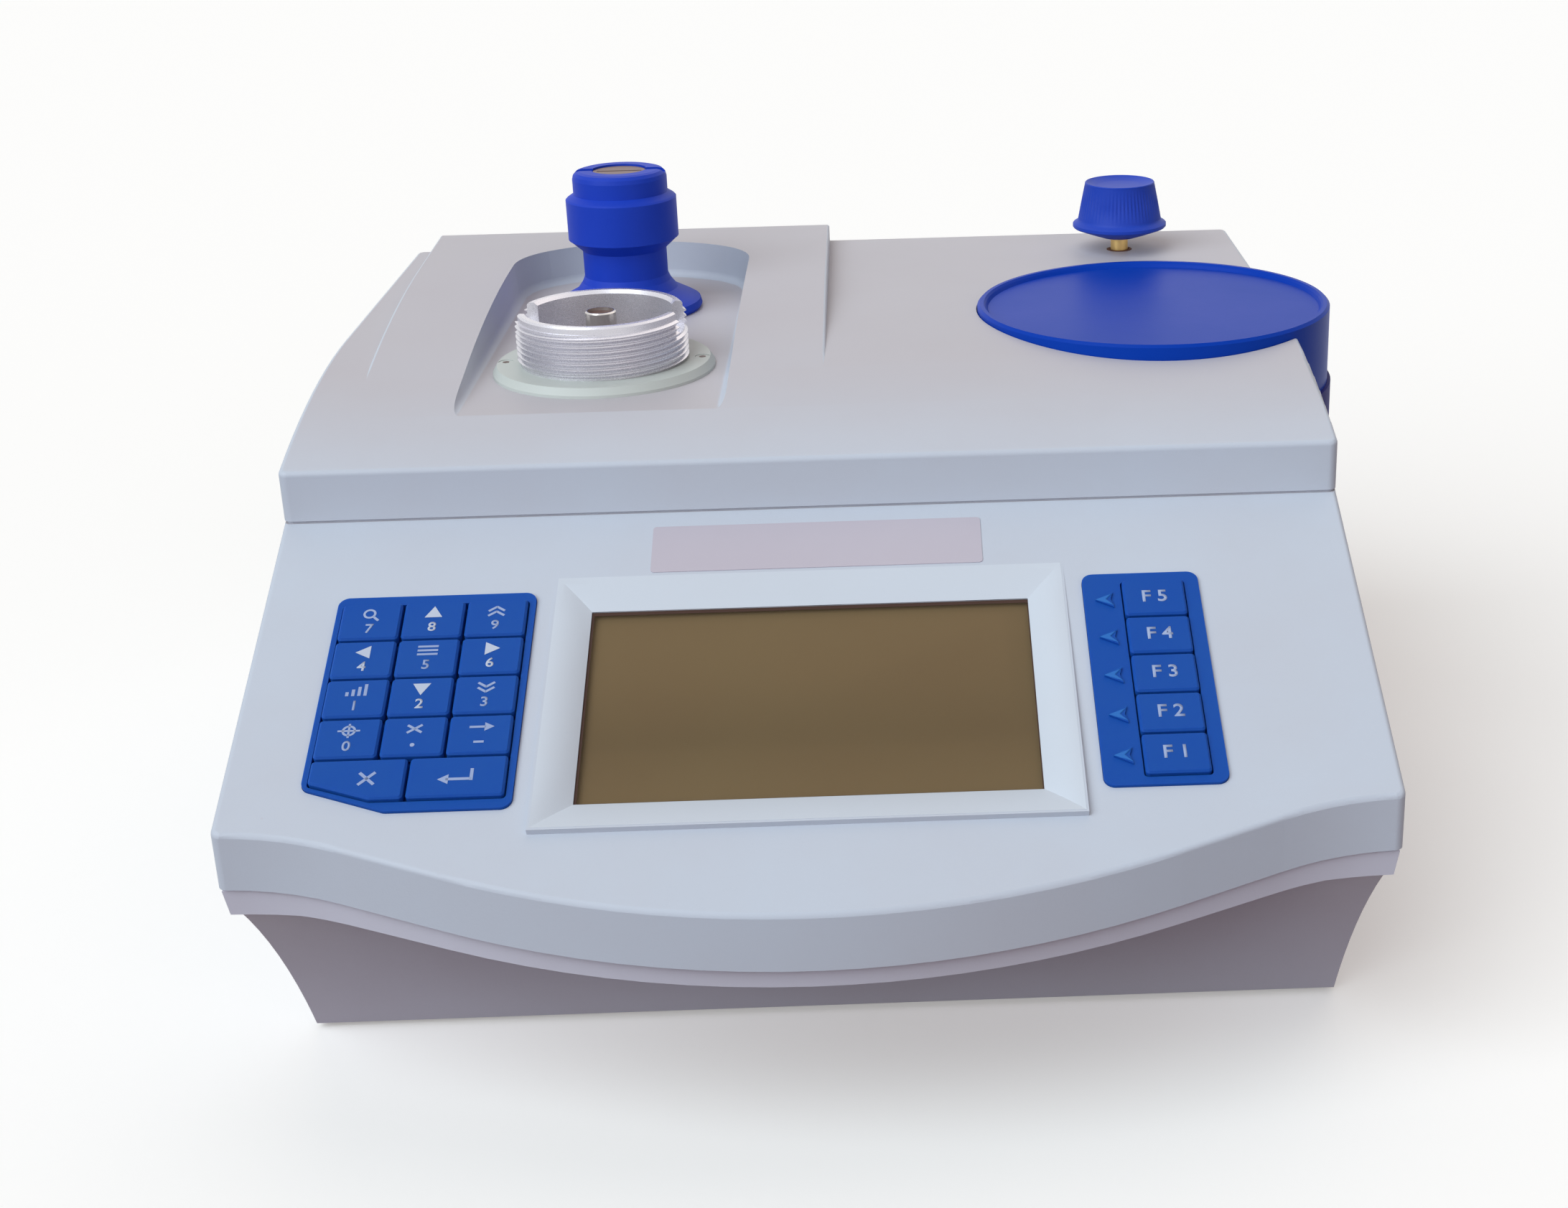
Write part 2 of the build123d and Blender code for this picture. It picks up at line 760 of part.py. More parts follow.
def bay_scoop(grow=0.0):
    """The scoop: straight walls, a three-centred arch at the back, walls that lean outward."""
    half = bay_half + grow
    depth = bay_arch_depth + grow
    corner = bay_arch_corner + grow
    # the middle arc's radius makes it run on smoothly from the two corner arcs
    crown = ((half - corner) ** 2 + depth ** 2 - corner ** 2) / (2 * (depth - corner))
    share = crown / (crown - corner)
    meet = ((half - corner) * share, bay_arch_y + depth - crown + (crown - depth) * share)
    left, right = bay_x - half, bay_x + half
    left_meet, right_meet = (bay_x - meet[0], meet[1]), (bay_x + meet[0], meet[1])
    face = make_face([
        Polyline((left, bay_arch_y), (left, bay_front_y), (right, bay_front_y),
                 (right, bay_arch_y)),
        TangentArc((right, bay_arch_y), right_meet, tangent=(0, 1)),
        ThreePointArc(right_meet, (bay_x, bay_arch_y + depth), left_meet),
        TangentArc((left, bay_arch_y), left_meet, tangent=(0, 1)),
    ])
    height = block_top_z - bay_floor_z
    # drawn at the block's top, so the walls lean in towards the floor
    top = Pos(0, 0, block_top_z) * face
    scoop = extrude(top, amount=-(height + grow), taper=bay_draft)
    floor_edges = [e for e in scoop.faces().sort_by(Axis.Z)[0].edges()
                   if e.center().Y > bay_front_y + 1]
    scoop = fillet(floor_edges, bay_floor_fillet + grow)
    return scoop + extrude(top, amount=20)


def rear_cover():
    """Cover over the rear of the housing, with the raised block, the scooped burette bay and
    the round cut-out for the stirrer pod."""
    rebate_z = cover_bottom_z + shadow_gap
    body = extrude(Pos(0, 0, rebate_z) * cover_plan(), amount=60)
    lip = extrude(Pos(0, 0, cover_bottom_z) * cover_plan(shadow_gap), amount=shadow_gap)
    under_roof = roof_prism(half_width + 5, roof, cover_crown_y, cover_front_y - 5, 0)
    body &= under_roof
    rim = [e for e in body.edges() if e.center().Z > cover_shoulder_z - 1
           and abs(e.tangent_at(0.5).Z) < 0.5]
    body = fillet(rim, soft_edge)
    outer = body + lip
    block = extrude(Pos(0, 0, 160) * block_plan(), amount=60) & roof_prism(
        half_width + 5, block_roof, block_crown_y, block_front_y, 0)
    block = fillet(block.faces().filter_by(GeomType.CYLINDER).edges()
                   .filter_by(lambda e: abs(e.tangent_at(0.5).X) < 0.5), block_edge)
    outer += block

    inner = extrude(Pos(0, 0, cover_bottom_z - 5) * cover_plan(wall), amount=70) & roof_prism(
        half_width + 5, roof_inside, cover_crown_y, cover_front_y - 5, 0)
    inner += extrude(Pos(0, 0, 150) * block_plan(wall), amount=60) & roof_prism(
        half_width + 5, block_inside, block_crown_y, block_front_y, 0)
    inner -= bay_scoop(wall)

    cover = outer - bay_scoop() - inner
    cover -= disc(tray_x, tray_y, cover_bottom_z - 10, cover_top_z + 20,
                  tray_radius + pod_clearance)
    cover -= disc(tray_x, tray_y, cover_bottom_z - 10, pod_split_z + pod_clearance,
                  pod_radius + pod_clearance)
    cover -= disc(knob_x, knob_y, cover_top_z - 10, cover_top_z + 10, knob_hole)
    cover -= disc(bay_x, ring_y, bay_floor_z - 10, bay_floor_z + 1, bush_radius)
    cover -= disc(bay_x, post_y, bay_floor_z - 10, bay_floor_z + 1, spindle_radius + 1)
    for side in (-1, 1):
        cover -= disc(bay_x + side * flange_screw_radius, ring_y, bay_floor_z - wall - 1,
                      bay_floor_z + 1, flange_screw_size)
    return cover


# ================================================================ burette drive
thread_low_z = bay_floor_z + flange_thickness + 1.0
thread_high_z = ring_top_z - ring_lead


def ring_flange():
    """Moulded ring under the burette collar, with a bevelled edge and two screw holes."""
    top = bay_floor_z + flange_thickness
    ring = turned(
        bay_x, ring_y, (ring_spigot, bay_floor_z), (flange_radius, bay_floor_z),
        (flange_radius, bay_floor_z + 1), (flange_radius - flange_bevel, top),
        (ring_spigot, top))
    for side in (-1, 1):
        spot = bay_x + side * flange_screw_radius
        ring -= disc(spot, ring_y, bay_floor_z - 1, top + 1, flange_screw_size)
        ring -= disc(spot, ring_y, top - 1.4, top + 1, flange_screw_size + 1.1)
    return ring


def burette_ring():
    """Threaded collar that takes the burette unit's union nut, with two keying slots."""
    collar = turned(
        bay_x, ring_y, (ring_inner, bay_floor_z), (ring_spigot, bay_floor_z),
        (ring_spigot, thread_low_z), (ring_outer, thread_low_z),
        (ring_outer, thread_high_z), (ring_spigot, thread_high_z),
        (ring_spigot, ring_top_z - ring_outer_edge), (ring_spigot - ring_outer_edge, ring_top_z),
        (ring_inner + ring_inner_edge, ring_top_z), (ring_inner, ring_top_z - ring_inner_edge))
    slot = Pos(bay_x, ring_y, ring_top_z - ring_slot_depth / 2 + 1) * Rot(
        0, 0, ring_slot_turn) * Box(3 * ring_outer, ring_slot_width, ring_slot_depth + 2)
    return collar - slot


def flange_screws():
    top = bay_floor_z + flange_thickness
    screws = []
    for side in (-1, 1):
        spot = bay_x + side * flange_screw_radius
        screws.append(disc(spot, ring_y, bay_floor_z - wall, top - 1.4, flange_screw_size)
                      + disc(spot, ring_y, top - 1.4, top - 0.2, flange_screw_size + 1.0))
    return Compound(screws)


def rod_bush():
    """Flanged bronze bush under the bay floor that guides the push rod."""
    inner = rod_radius + running
    top = bay_floor_z
    return turned(
        bay_x, ring_y, (inner, top - wall - bush_length), (inner, top), (bush_radius, top),
        (bush_radius, top - wall - bush_length))


carriage_top = carriage_z + carriage_height
screw_top_z = carriage_top + rod_stroke + screw_margin


def push_rod():
    """Hollow rod that the carriage lifts: its top pushes the burette's piston."""
    return turned(
        bay_x, ring_y, (rod_bore, carriage_z + 4), (rod_radius, carriage_z + 4),
        (rod_radius, rod_top_z - 0.5), (rod_radius - 0.5, rod_top_z),
        (rod_cap_radius, rod_top_z), (rod_cap_radius, rod_top_z - rod_cap_depth - 1.2),
        (0, rod_top_z - rod_cap_depth - 1.2), (0, rod_top_z - 12), (rod_bore, rod_top_z - 12))


def rod_cap():
    """Magnet set in the rod's end that holds the piston's foot."""
    return disc(bay_x, ring_y, rod_top_z - rod_cap_depth - 1.2, rod_top_z - 1.2, rod_cap_radius)


def drive_carriage():
    """Nut block: threaded on the screw, sliding on the two guide rods, rod set in its top."""
    block = Pos(bay_x, ring_y, carriage_z + carriage_height / 2) * Box(
        24, 2 * guide_offset + 16, carriage_height)
    block = fillet(block.edges().filter_by(Axis.Z), 5)
    block -= disc(bay_x, ring_y, carriage_z - 1, carriage_top + 1, screw_radius + running)
    block -= disc(bay_x, ring_y, carriage_z + 4, carriage_top + 1, rod_radius)
    for side in (-1, 1):
        block -= disc(bay_x, ring_y + side * guide_offset, carriage_z - 1, carriage_top + 1,
                      guide_radius + running)
    return block


top_plate_low = bay_floor_z - wall - bush_length + 8
top_plate_high = top_plate_low + frame_plate


def drive_frame():
    """Motor plate and top plate, with the bosses that hang the frame from the bay floor."""
    plate = RectangleRounded(2 * frame_half_x, 2 * frame_half_y + 10, 6)
    spot = Pos(bay_x, ring_y, 0)
    low = spot * Pos(0, 0, frame_low_z) * extrude(plate, amount=frame_plate)
    low -= disc(bay_x, ring_y, frame_low_z - 1, frame_low_z + frame_plate + 1, 11.0)
    high = spot * Pos(0, 0, top_plate_low) * extrude(plate, amount=frame_plate)
    high -= disc(bay_x, ring_y, top_plate_low - 1, top_plate_high + 1, bush_radius)
    pillars = []
    for sx in (-1, 1):
        for sy in (-1, 1):
            x = bay_x + sx * (frame_half_x - 6)
            y = ring_y + sy * (frame_half_y - 3)
            pillars.append(Pos(x, y, frame_low_z) * extrude(
                RegularPolygon(4.0, 6), amount=bay_floor_z - wall - frame_low_z))
    frame = low + high
    for pillar in pillars:
        frame += pillar
    for side in (-1, 1):
        frame -= disc(bay_x, ring_y + side * guide_offset, frame_low_z - 1, top_plate_high + 1,
                      guide_radius)
    return frame


def guide_rods():
    return Compound([disc(bay_x, ring_y + side * guide_offset, frame_low_z, top_plate_high,
                          guide_radius) for side in (-1, 1)])


def drive_motor():
    """Stepping motor bolted under the motor plate, with a pilot boss round its shaft."""
    low = frame_low_z - motor_height
    body = Pos(bay_x, ring_y, low + motor_height / 2) * Box(motor_size, motor_size, motor_height)
    body = chamfer(body.edges().filter_by(Axis.Z), motor_corner)
    body += disc(bay_x, ring_y, frame_low_z, frame_low_z + 2, 10.9)
    return body - disc(bay_x, ring_y, low + 6, frame_low_z + 3, screw_radius + running)


def lead_screw():
    """Trapezoidal screw that is the motor's own shaft."""
    low = frame_low_z - motor_height + 8
    return turned(bay_x, ring_y, (0, low), (screw_radius, low), (screw_radius, screw_top_z - 1),
                  (screw_radius - 1, screw_top_z), (0, screw_top_z))


# ================================================================ valve drive
def valve_post():
    """Waisted post that carries the burette's stopcock: one moulding with a socket on top."""
    bore = spindle_radius + 0.6
    socket = coupling_radius + coupling_gap
    seat_z = post_top_z - coupling_sink - coupling_thickness - coupling_gap
    edge = post_cap_edge
    profile = [
        (bore, bay_floor_z), (post_base - 0.8, bay_floor_z), (post_base, bay_floor_z + 1.4),
        (post_base - 0.6, bay_floor_z + post_base_height - 1),
        (post_base - 2.2, bay_floor_z + post_base_height),
        (post_stem + 3.4, post_stem_low_z - 3.2), (post_stem + 1.0, post_stem_low_z),
        (post_stem, post_stem_low_z + 2.4),
        (post_stem, post_stem_high_z), (post_collar - 0.6, post_collar_low_z - 0.4),
        (post_collar, post_collar_low_z), (post_collar, post_collar_high_z - 0.6),
        (post_collar - 0.6, post_collar_high_z), (post_cap, post_cap_low_z),
        (post_cap, post_top_z - edge), (post_cap - edge * (1 - cos(radians(30))),
                                        post_top_z - edge * (1 - sin(radians(30)))),
        (post_cap - edge * (1 - cos(radians(60))), post_top_z - edge * (1 - sin(radians(60)))),
        (post_cap - edge, post_top_z), (socket, post_top_z), (socket, seat_z), (bore, seat_z),
    ]
    post = turned(bay_x, post_y, *profile)
    notch = Pos(bay_x, post_y, post_top_z) * Box(3 * post_cap, post_notch, 2 * post_notch_depth)
    return post - notch


def valve_coupling():
    """Slotted disc on its spindle: turns the stopcock's key."""
    top = post_top_z - coupling_sink
    head = disc(bay_x, post_y, top - coupling_thickness, top, coupling_radius)
    head -= Pos(bay_x, post_y, top) * Box(1.7 * coupling_radius, coupling_slot,
                                          2 * coupling_slot_depth)
    low = bay_floor_z - wall - valve_motor_height + 8
    return head + disc(bay_x, post_y, low, top - coupling_thickness, spindle_radius)


valve_flange_length = 46.0
valve_flange_width = 40.0
valve_flange_thickness = 2.0


def valve_motor():
    """Geared motor hung under the bay floor on its own flange."""
    top = bay_floor_z - wall
    body = disc(bay_x, post_y, top - valve_motor_height, top - valve_flange_thickness,
                valve_motor_radius)
    body += Pos(bay_x, post_y, top - valve_flange_thickness / 2) * Box(
        valve_flange_length, valve_flange_width, valve_flange_thickness)
    return body - disc(bay_x, post_y, top - valve_motor_height + 6, top + 1,
                       spindle_radius + running)


# ================================================================ stirrer
def beaker_tray():
    """Round tray with a raised rim; its skirt goes down to the pod."""
    r = tray_radius
    under = tray_surface_z - 2.6
    return turned(
        tray_x, tray_y, (0, under), (r - wall, under), (r - wall, pod_split_z), (r, pod_split_z),
        (r, tray_rim_z - 1.0), (r - 1.0, tray_rim_z), (r - tray_rim + 0.8, tray_rim_z),
        (r - tray_rim, tray_rim_z - 0.8), (r - tray_rim - 0.8, tray_surface_z),
        (0, tray_surface_z))


def stirrer_pod():
    """Cup that holds the stirrer motor and stands half outside the housing's right wall."""
    r = pod_radius
    return turned(
        tray_x, tray_y, (0, pod_floor_z), (r - 5, pod_floor_z), (r, pod_floor_z + 5),
        (r, pod_split_z), (r - wall, pod_split_z), (r - wall, pod_floor_z + wall),
        (0, pod_floor_z + wall))


motor_floor = pod_floor_z + wall
rotor_top = tray_surface_z - 2.6 - magnet_gap


def stirrer_motor():
    top = motor_floor + stirrer_motor_height
    body = disc(tray_x, tray_y, motor_floor, top, stirrer_motor_radius)
    body += disc(tray_x, tray_y, top, top + 2, 6)
    return body - disc(tray_x, tray_y, motor_floor + 6, top + 3, stirrer_shaft + running)


def stirrer_rotor():
    """Magnet carrier on the motor's shaft: a bar with a magnet at each end."""
    low = rotor_top - magnet_height
    bar = Pos(tray_x, tray_y, rotor_top - magnet_height / 2) * Box(
        2 * magnet_half, magnet_width, magnet_height)
    bar = fillet(bar.edges().filter_by(Axis.Z), 5)
    bar += disc(tray_x, tray_y, low - 2, low, 7)
    return bar + disc(tray_x, tray_y, motor_floor + 8, low, stirrer_shaft)


# ================================================================ speed knob
def speed_knob():
    """Tapered knob with a skirt flange, a dished top and a dished underside."""
    profile = [
        (knob_shaft_radius, knob_low_z), (knob_dish_inner, knob_low_z),
        (knob_dish_outer, knob_dish_z), (knob_flange_radius, knob_flange_low_z),
        (knob_flange_radius, knob_flange_high_z), (knob_base_radius, knob_base_z),
        (knob_top_radius, knob_top_z), (knob_top_radius - knob_rim, knob_top_z),
        (knob_recess_radius, knob_top_z - knob_recess_depth),
        (0, knob_top_z - knob_recess_depth), (0, knob_top_z - 5), (knob_shaft_radius,
                                                                   knob_top_z - 5),
    ]
    return turned(knob_x, knob_y, *profile)


pot_top = cover_top_z - wall


def knob_shaft():
    """Brass spindle of the speed potentiometer."""
    return disc(knob_x, knob_y, pot_top - pot_height + 3, knob_top_z - 5, knob_shaft_radius)


def speed_pot():
    """Potentiometer under the cover, its threaded bush up in the cover's hole."""
    body = disc(knob_x, knob_y, pot_top - pot_height, pot_top, pot_radius)
    body += disc(knob_x, knob_y, pot_top, pot_top + 2.2, knob_hole - 0.4)
    body += span(knob_x - 8, knob_x + 8, knob_y + 8, knob_y + 18, pot_top - pot_height,
                 pot_top - pot_height + 2)
    return body - disc(knob_x, knob_y, pot_top - pot_height + 1, pot_top + 4,
                       knob_shaft_radius + running)


# ================================================================ rear panel and sockets
inlet_width, inlet_height = 47.0, 27.0
inlet_depth = 22.0
inlet_socket = (24.2, 16.4, 15.0)
switch_width, switch_height = 15.0, 21.0
switch_gap = 0.35
switch_tilt = 9.0
switch_rim = 1.6
rocker_pivot = -1.4           # pivot behind the panel's face
rocker_pin = 1.6
rocker_pin_reach = 0.6        # how far each pin runs into the frame's side
bnc_spots = [(20.0, socket_z), (48.0, socket_z)]
din_spots = [(76.0, socket_z), (100.0, socket_z)]
bnc_hole = 5.0
din_hole = 7.6
serial_x = -12.0
vent_count = 9


def on_rear(x, z, depth=0.0):
    """Frame on the rear panel's outer face: local z points out of the back."""
    return Plane(origin=(x, plate_face + depth, z), x_dir=(-1, 0, 0), z_dir=(0, 1, 0))


def rear_panel():
    """Aluminium plate set in the rear wall, carrying every socket."""
    plate = span(-rear_plate_half + 0.1, rear_plate_half - 0.1, plate_back, plate_face,
                 rear_plate_low + 0.1, rear_plate_high - 0.1)
    plate += span(-rear_plate_half - rear_lap, rear_plate_half + rear_lap, plate_back - 1.5,
                  plate_back, rear_plate_low - rear_lap, rear_plate_high + rear_lap)
    plate -= span(inlet_x - inlet_width / 2 + 4, inlet_x + inlet_width / 2 - 4, plate_back - 3,
                  plate_face + 5, inlet_z - inlet_height / 2 + 2, inlet_z + inlet_height / 2 - 2)
    plate -= span(switch_x - switch_width / 2, switch_x + switch_width / 2, plate_back - 3,
                  plate_face + 5, inlet_z - switch_height / 2, inlet_z + switch_height / 2)
    for x, z in bnc_spots:
        plate -= on_rear(x, z) * Cylinder(bnc_hole, 20)
    for x, z in din_spots:
        plate -= on_rear(x, z) * Cylinder(din_hole, 20)
    plate -= on_rear(serial_x, socket_z) * Box(19.6, 10.6, 20)
    for i in range(vent_count):
        x = 24.0 + i * 9.0
        plate -= span(x, x + 3.0, plate_back - 3, plate_face + 5, 92, 98)
    return plate


def power_inlet():
    """Mains inlet with its three pins."""
    flange = Box(inlet_width, inlet_height, 2.0)
    body = Pos(0, 0, -1 - inlet_depth / 2) * Box(inlet_width - 8.2, inlet_height - 4.2,
                                                 inlet_depth)
    socket = fillet(Box(inlet_socket[0], inlet_socket[1], 2 * inlet_socket[2])
                    .edges().filter_by(Axis.Z), 3.0)
    shape = fillet(flange.edges().filter_by(Axis.Z), 2.5) + body - socket
    for x, y in ((-7.0, -2.0), (7.0, -2.0), (0.0, 2.0)):
        shape += Pos(x, y, -inlet_socket[2] / 2 - 1) * Box(2.0, 4.0, inlet_socket[2] - 2)
    return on_rear(inlet_x, inlet_z, 1.0) * shape


def switch_frame():
    """Snap-in body of the mains switch."""
    rim = Pos(0, 0, switch_rim / 2) * Box(switch_width + 4, switch_height + 4, switch_rim)
    body = Pos(0, 0, -9) * Box(switch_width - 0.2, switch_height - 0.2, 18)
    shape = rim + body - Box(switch_width - 2, switch_height - 2, 17)
    pin_hole = Rot(0, 90, 0) * Cylinder(
        rocker_pin + running, switch_width - 2 + 2 * rocker_pin_reach + 0.1)
    return on_rear(switch_x, inlet_z) * (shape - Pos(0, 0, rocker_pivot) * pin_hole)


def switch_rocker():
    """Rocker tilted to its off side, on a pivot across the switch."""
    width = switch_width - 2 - 2 * switch_gap
    half = switch_height / 2 - 1 - 0.8
    high = switch_rim - rocker_pivot
    arms = make_face(Polyline((-half, high + 2.4), (0, high + 0.2), (half, high + 2.4),
                              (half - 0.6, high - 2.3), (3, -2.8), (-3, -2.8),
                              (-half + 0.6, high - 2.3), close=True))
    side = Plane(origin=(0, 0, 0), x_dir=(0, 1, 0), z_dir=(1, 0, 0))
    shape = extrude(side * arms, amount=width / 2, both=True)
    shape += Rot(0, 90, 0) * Cylinder(rocker_pin, switch_width - 2 + 2 * rocker_pin_reach)
    return on_rear(switch_x, inlet_z, rocker_pivot) * Rot(-switch_tilt / 2, 0, 0) * shape


def electrode_sockets():
    """Two bayonet sockets for the measuring and reference electrodes."""
    sockets = []
    for x, z in bnc_spots:
        nut = extrude(RegularPolygon(7.0, 6), amount=2.5)
        tube = Cylinder(4.8, socket_reach + 12)
        lugs = Pos(0, 0, socket_reach - 3) * Box(11.0, 1.9, 1.9)
        bore = Pos(0, 0, socket_reach) * Cylinder(4.05, 16)
        pin = Pos(0, 0, 3) * Cylinder(1.1, 8)
        shape = nut + Pos(0, 0, (socket_reach - 12) / 2) * tube + lugs - bore + pin
        sockets.append(on_rear(x, z) * shape)
    return Compound([s for c in sockets for s in c.solids()])


def round_sockets():
    """Two round multi-pin sockets for the temperature probe and an outside stirrer."""
    sockets = []
    for x, z in din_spots:
        body = Pos(0, 0, -3) * Cylinder(din_hole - 0.05, 10)
        rim = Pos(0, 0, 0.8) * Cylinder(9.2, 1.6)
        well = Pos(0, 0, 1.6) * Cylinder(6.2, 1.6)
        shape = body + rim - well
        sockets.append(on_rear(x, z) * shape)
    return Compound([s for c in sockets for s in c.solids()])


def serial_port():
    """Nine-way D socket with its two hexagon posts."""
    plate = Pos(0, 0, 0.4) * Box(31.0, 12.5, 0.8)
    shell_face = make_face(Polyline((-8.6, 4.0), (8.6, 4.0), (7.6, -4.0), (-7.6, -4.0),
                                    close=True))
    shell = extrude(fillet(shell_face.vertices(), 1.6), amount=6.0)
    back = Pos(0, 0, -4) * Box(19.0, 10.0, 8)
    shape = plate + shell + back
    shape -= Pos(0, 0, 5.4) * extrude(offset(fillet(shell_face.vertices(), 1.6), amount=-0.9),
                                      amount=6)
    for x in (-12.5, 12.5):
        shape += Pos(x, 0, 0.8) * extrude(RegularPolygon(2.8, 6), amount=5)
    return on_rear(serial_x, socket_z) * shape


# ================================================================ electronics
board_margin = 8.0            # board beyond its pillars
chip_place = (40.0, 40.0)     # from the board's front left corner
chip_side = 28.0
chip_height = 3.0
driver_place = (92.0, 30.0)
driver_length = 26.0
driver_width = 20.0
driver_height = 5.0
header_inset = 20.0           # plug strip along the board's rear edge
header_width = 7.0
header_edge = 5.0
header_height = 9.0
reservoir_place = (24.0, 18.0)
reservoir_radius = 6.0
reservoir_height = 14.0
supply_length = 110.0
supply_width = 70.0
supply_height = 34.0
supply_edge = 2.0


def main_board():
    """Control board on four pillars, with its larger parts."""
    x0, x1 = board_spots[0][0] - board_margin, board_spots[-1][0] + board_margin
    y0, y1 = board_spots[0][1] - board_margin, board_spots[-1][1] + board_margin
    z = board_stand + board_thickness
    board = span(x0, x1, y0, y1, board_stand, z)
    x, y = x0 + chip_place[0], y0 + chip_place[1]
    board += span(x, x + chip_side, y, y + chip_side, z, z + chip_height)
    x, y = x0 + driver_place[0], y0 + driver_place[1]
    board += span(x, x + driver_length, y, y + driver_width, z, z + driver_height)
    board += span(x0 + header_inset, x1 - header_inset, y1 - header_edge - header_width,
                  y1 - header_edge, z, z + header_height)
    board += disc(x0 + reservoir_place[0], y0 + reservoir_place[1], z, z + reservoir_height,
                  reservoir_radius)
    return board


def power_supply():
    """Boxed power supply screwed to the base."""
    x, y = supply_spot
    floor_z = foot_height + base_floor
    body = span(x, x + supply_length, y, y + supply_width, floor_z, floor_z + supply_height)
    return chamfer(body.edges().filter_by(Axis.Z), supply_edge)


# ================================================================ assembly
parts = {
    "base_shell": base_shell(),
    "rubber_feet": rubber_feet(),
    "base_screws": base_screws(),
    "control_housing": control_housing(),
    "rear_cover": rear_cover(),
    "display_window": display_window(),
    "lcd_module": lcd_module(),
    "keypad_mat": keypad_mat(),
    "keypad_board": key_board(pad_outline(mat_flange)),
    "function_pad": function_pad(),
    "function_board": key_board(fpad_outline(mat_flange)),
    "ring_flange": ring_flange(),
    "burette_ring": burette_ring(),
    "flange_screws": flange_screws(),
    "rod_bush": rod_bush(),
    "push_rod": push_rod(),
    "rod_cap": rod_cap(),
    "drive_carriage": drive_carriage(),
    "drive_frame": drive_frame(),
    "guide_rods": guide_rods(),
    "drive_motor": drive_motor(),
    "lead_screw": lead_screw(),
    "valve_post": valve_post(),
    "valve_coupling": valve_coupling(),
    "valve_motor": valve_motor(),
    "beaker_tray": beaker_tray(),
    "stirrer_pod": stirrer_pod(),
    "stirrer_motor": stirrer_motor(),
    "stirrer_rotor": stirrer_rotor(),
    "speed_knob": speed_knob(),
    "knob_shaft": knob_shaft(),
    "speed_pot": speed_pot(),
    "rear_panel": rear_panel(),
    "power_inlet": power_inlet(),
    "switch_frame": switch_frame(),
    "switch_rocker": switch_rocker(),
    "electrode_sockets": electrode_sockets(),
    "round_sockets": round_sockets(),
    "serial_port": serial_port(),
    "main_board": main_board(),
    "power_supply": power_supply(),
    "key_cancel": wide_key(True),
    "key_enter": wide_key(False),
}
for (column, row), name in key_names.items():
    parts[name] = plain_key(key_column(column), key_row(row), key_width)
for row in range(5):
    parts[f"key_f{row + 1}"] = plain_key(fkey_x, key_row(row), fkey_width)

for name, shape in parts.items():
    solids = shape.solids()
    solid = solids[0] if len(solids) == 1 else Compound(solids)
    export_step(place(solid), f"parts/{name}.step")
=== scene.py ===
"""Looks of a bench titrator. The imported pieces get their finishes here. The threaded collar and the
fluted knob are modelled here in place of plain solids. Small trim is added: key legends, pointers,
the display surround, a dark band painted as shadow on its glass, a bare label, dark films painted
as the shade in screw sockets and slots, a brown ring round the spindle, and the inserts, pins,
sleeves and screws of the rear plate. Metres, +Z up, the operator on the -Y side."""

import json
import math

import bmesh
import bpy
from mathutils import Matrix, Vector


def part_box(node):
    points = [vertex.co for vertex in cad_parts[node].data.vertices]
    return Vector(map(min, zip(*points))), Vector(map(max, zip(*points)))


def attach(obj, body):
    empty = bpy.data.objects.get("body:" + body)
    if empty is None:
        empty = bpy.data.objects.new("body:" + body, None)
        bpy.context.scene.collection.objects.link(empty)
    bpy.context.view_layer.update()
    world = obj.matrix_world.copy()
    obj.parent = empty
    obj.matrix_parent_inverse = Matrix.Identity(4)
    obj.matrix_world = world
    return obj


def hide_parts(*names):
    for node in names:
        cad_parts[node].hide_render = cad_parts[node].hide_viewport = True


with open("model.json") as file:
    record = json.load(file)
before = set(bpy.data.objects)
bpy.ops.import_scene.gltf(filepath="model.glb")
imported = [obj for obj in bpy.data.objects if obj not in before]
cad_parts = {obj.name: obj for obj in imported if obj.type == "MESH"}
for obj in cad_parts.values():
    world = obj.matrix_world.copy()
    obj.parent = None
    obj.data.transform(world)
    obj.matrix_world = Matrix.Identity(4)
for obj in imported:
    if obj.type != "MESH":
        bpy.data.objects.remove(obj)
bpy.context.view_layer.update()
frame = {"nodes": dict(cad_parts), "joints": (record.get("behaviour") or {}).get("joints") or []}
nodes = frame["nodes"]

# ---------------------------------------------------------------- viewpoint
# A standing operator's view of the instrument, from just right of its middle and looking down
# over the control panel. The frame is off-centre, so the lens is shifted sideways.
eye = Vector((0.0164, -0.7463, 0.3844))
look_yaw = math.radians(-1.30)
look_down = math.radians(21.88)
look_roll = math.radians(-1.35)
image_width = 2184
image_height = 1683
focal_pixels = 3139
axis_column = 1317
axis_row = 863

forward = Vector((
    -math.sin(look_yaw) * math.cos(look_down),
    math.cos(look_yaw) * math.cos(look_down),
    -math.sin(look_down),
))
level_right = Vector((math.cos(look_yaw), math.sin(look_yaw), 0))
level_up = level_right.cross(forward)
right = math.cos(look_roll) * level_right + math.sin(look_roll) * level_up
upward = math.cos(look_roll) * level_up - math.sin(look_roll) * level_right

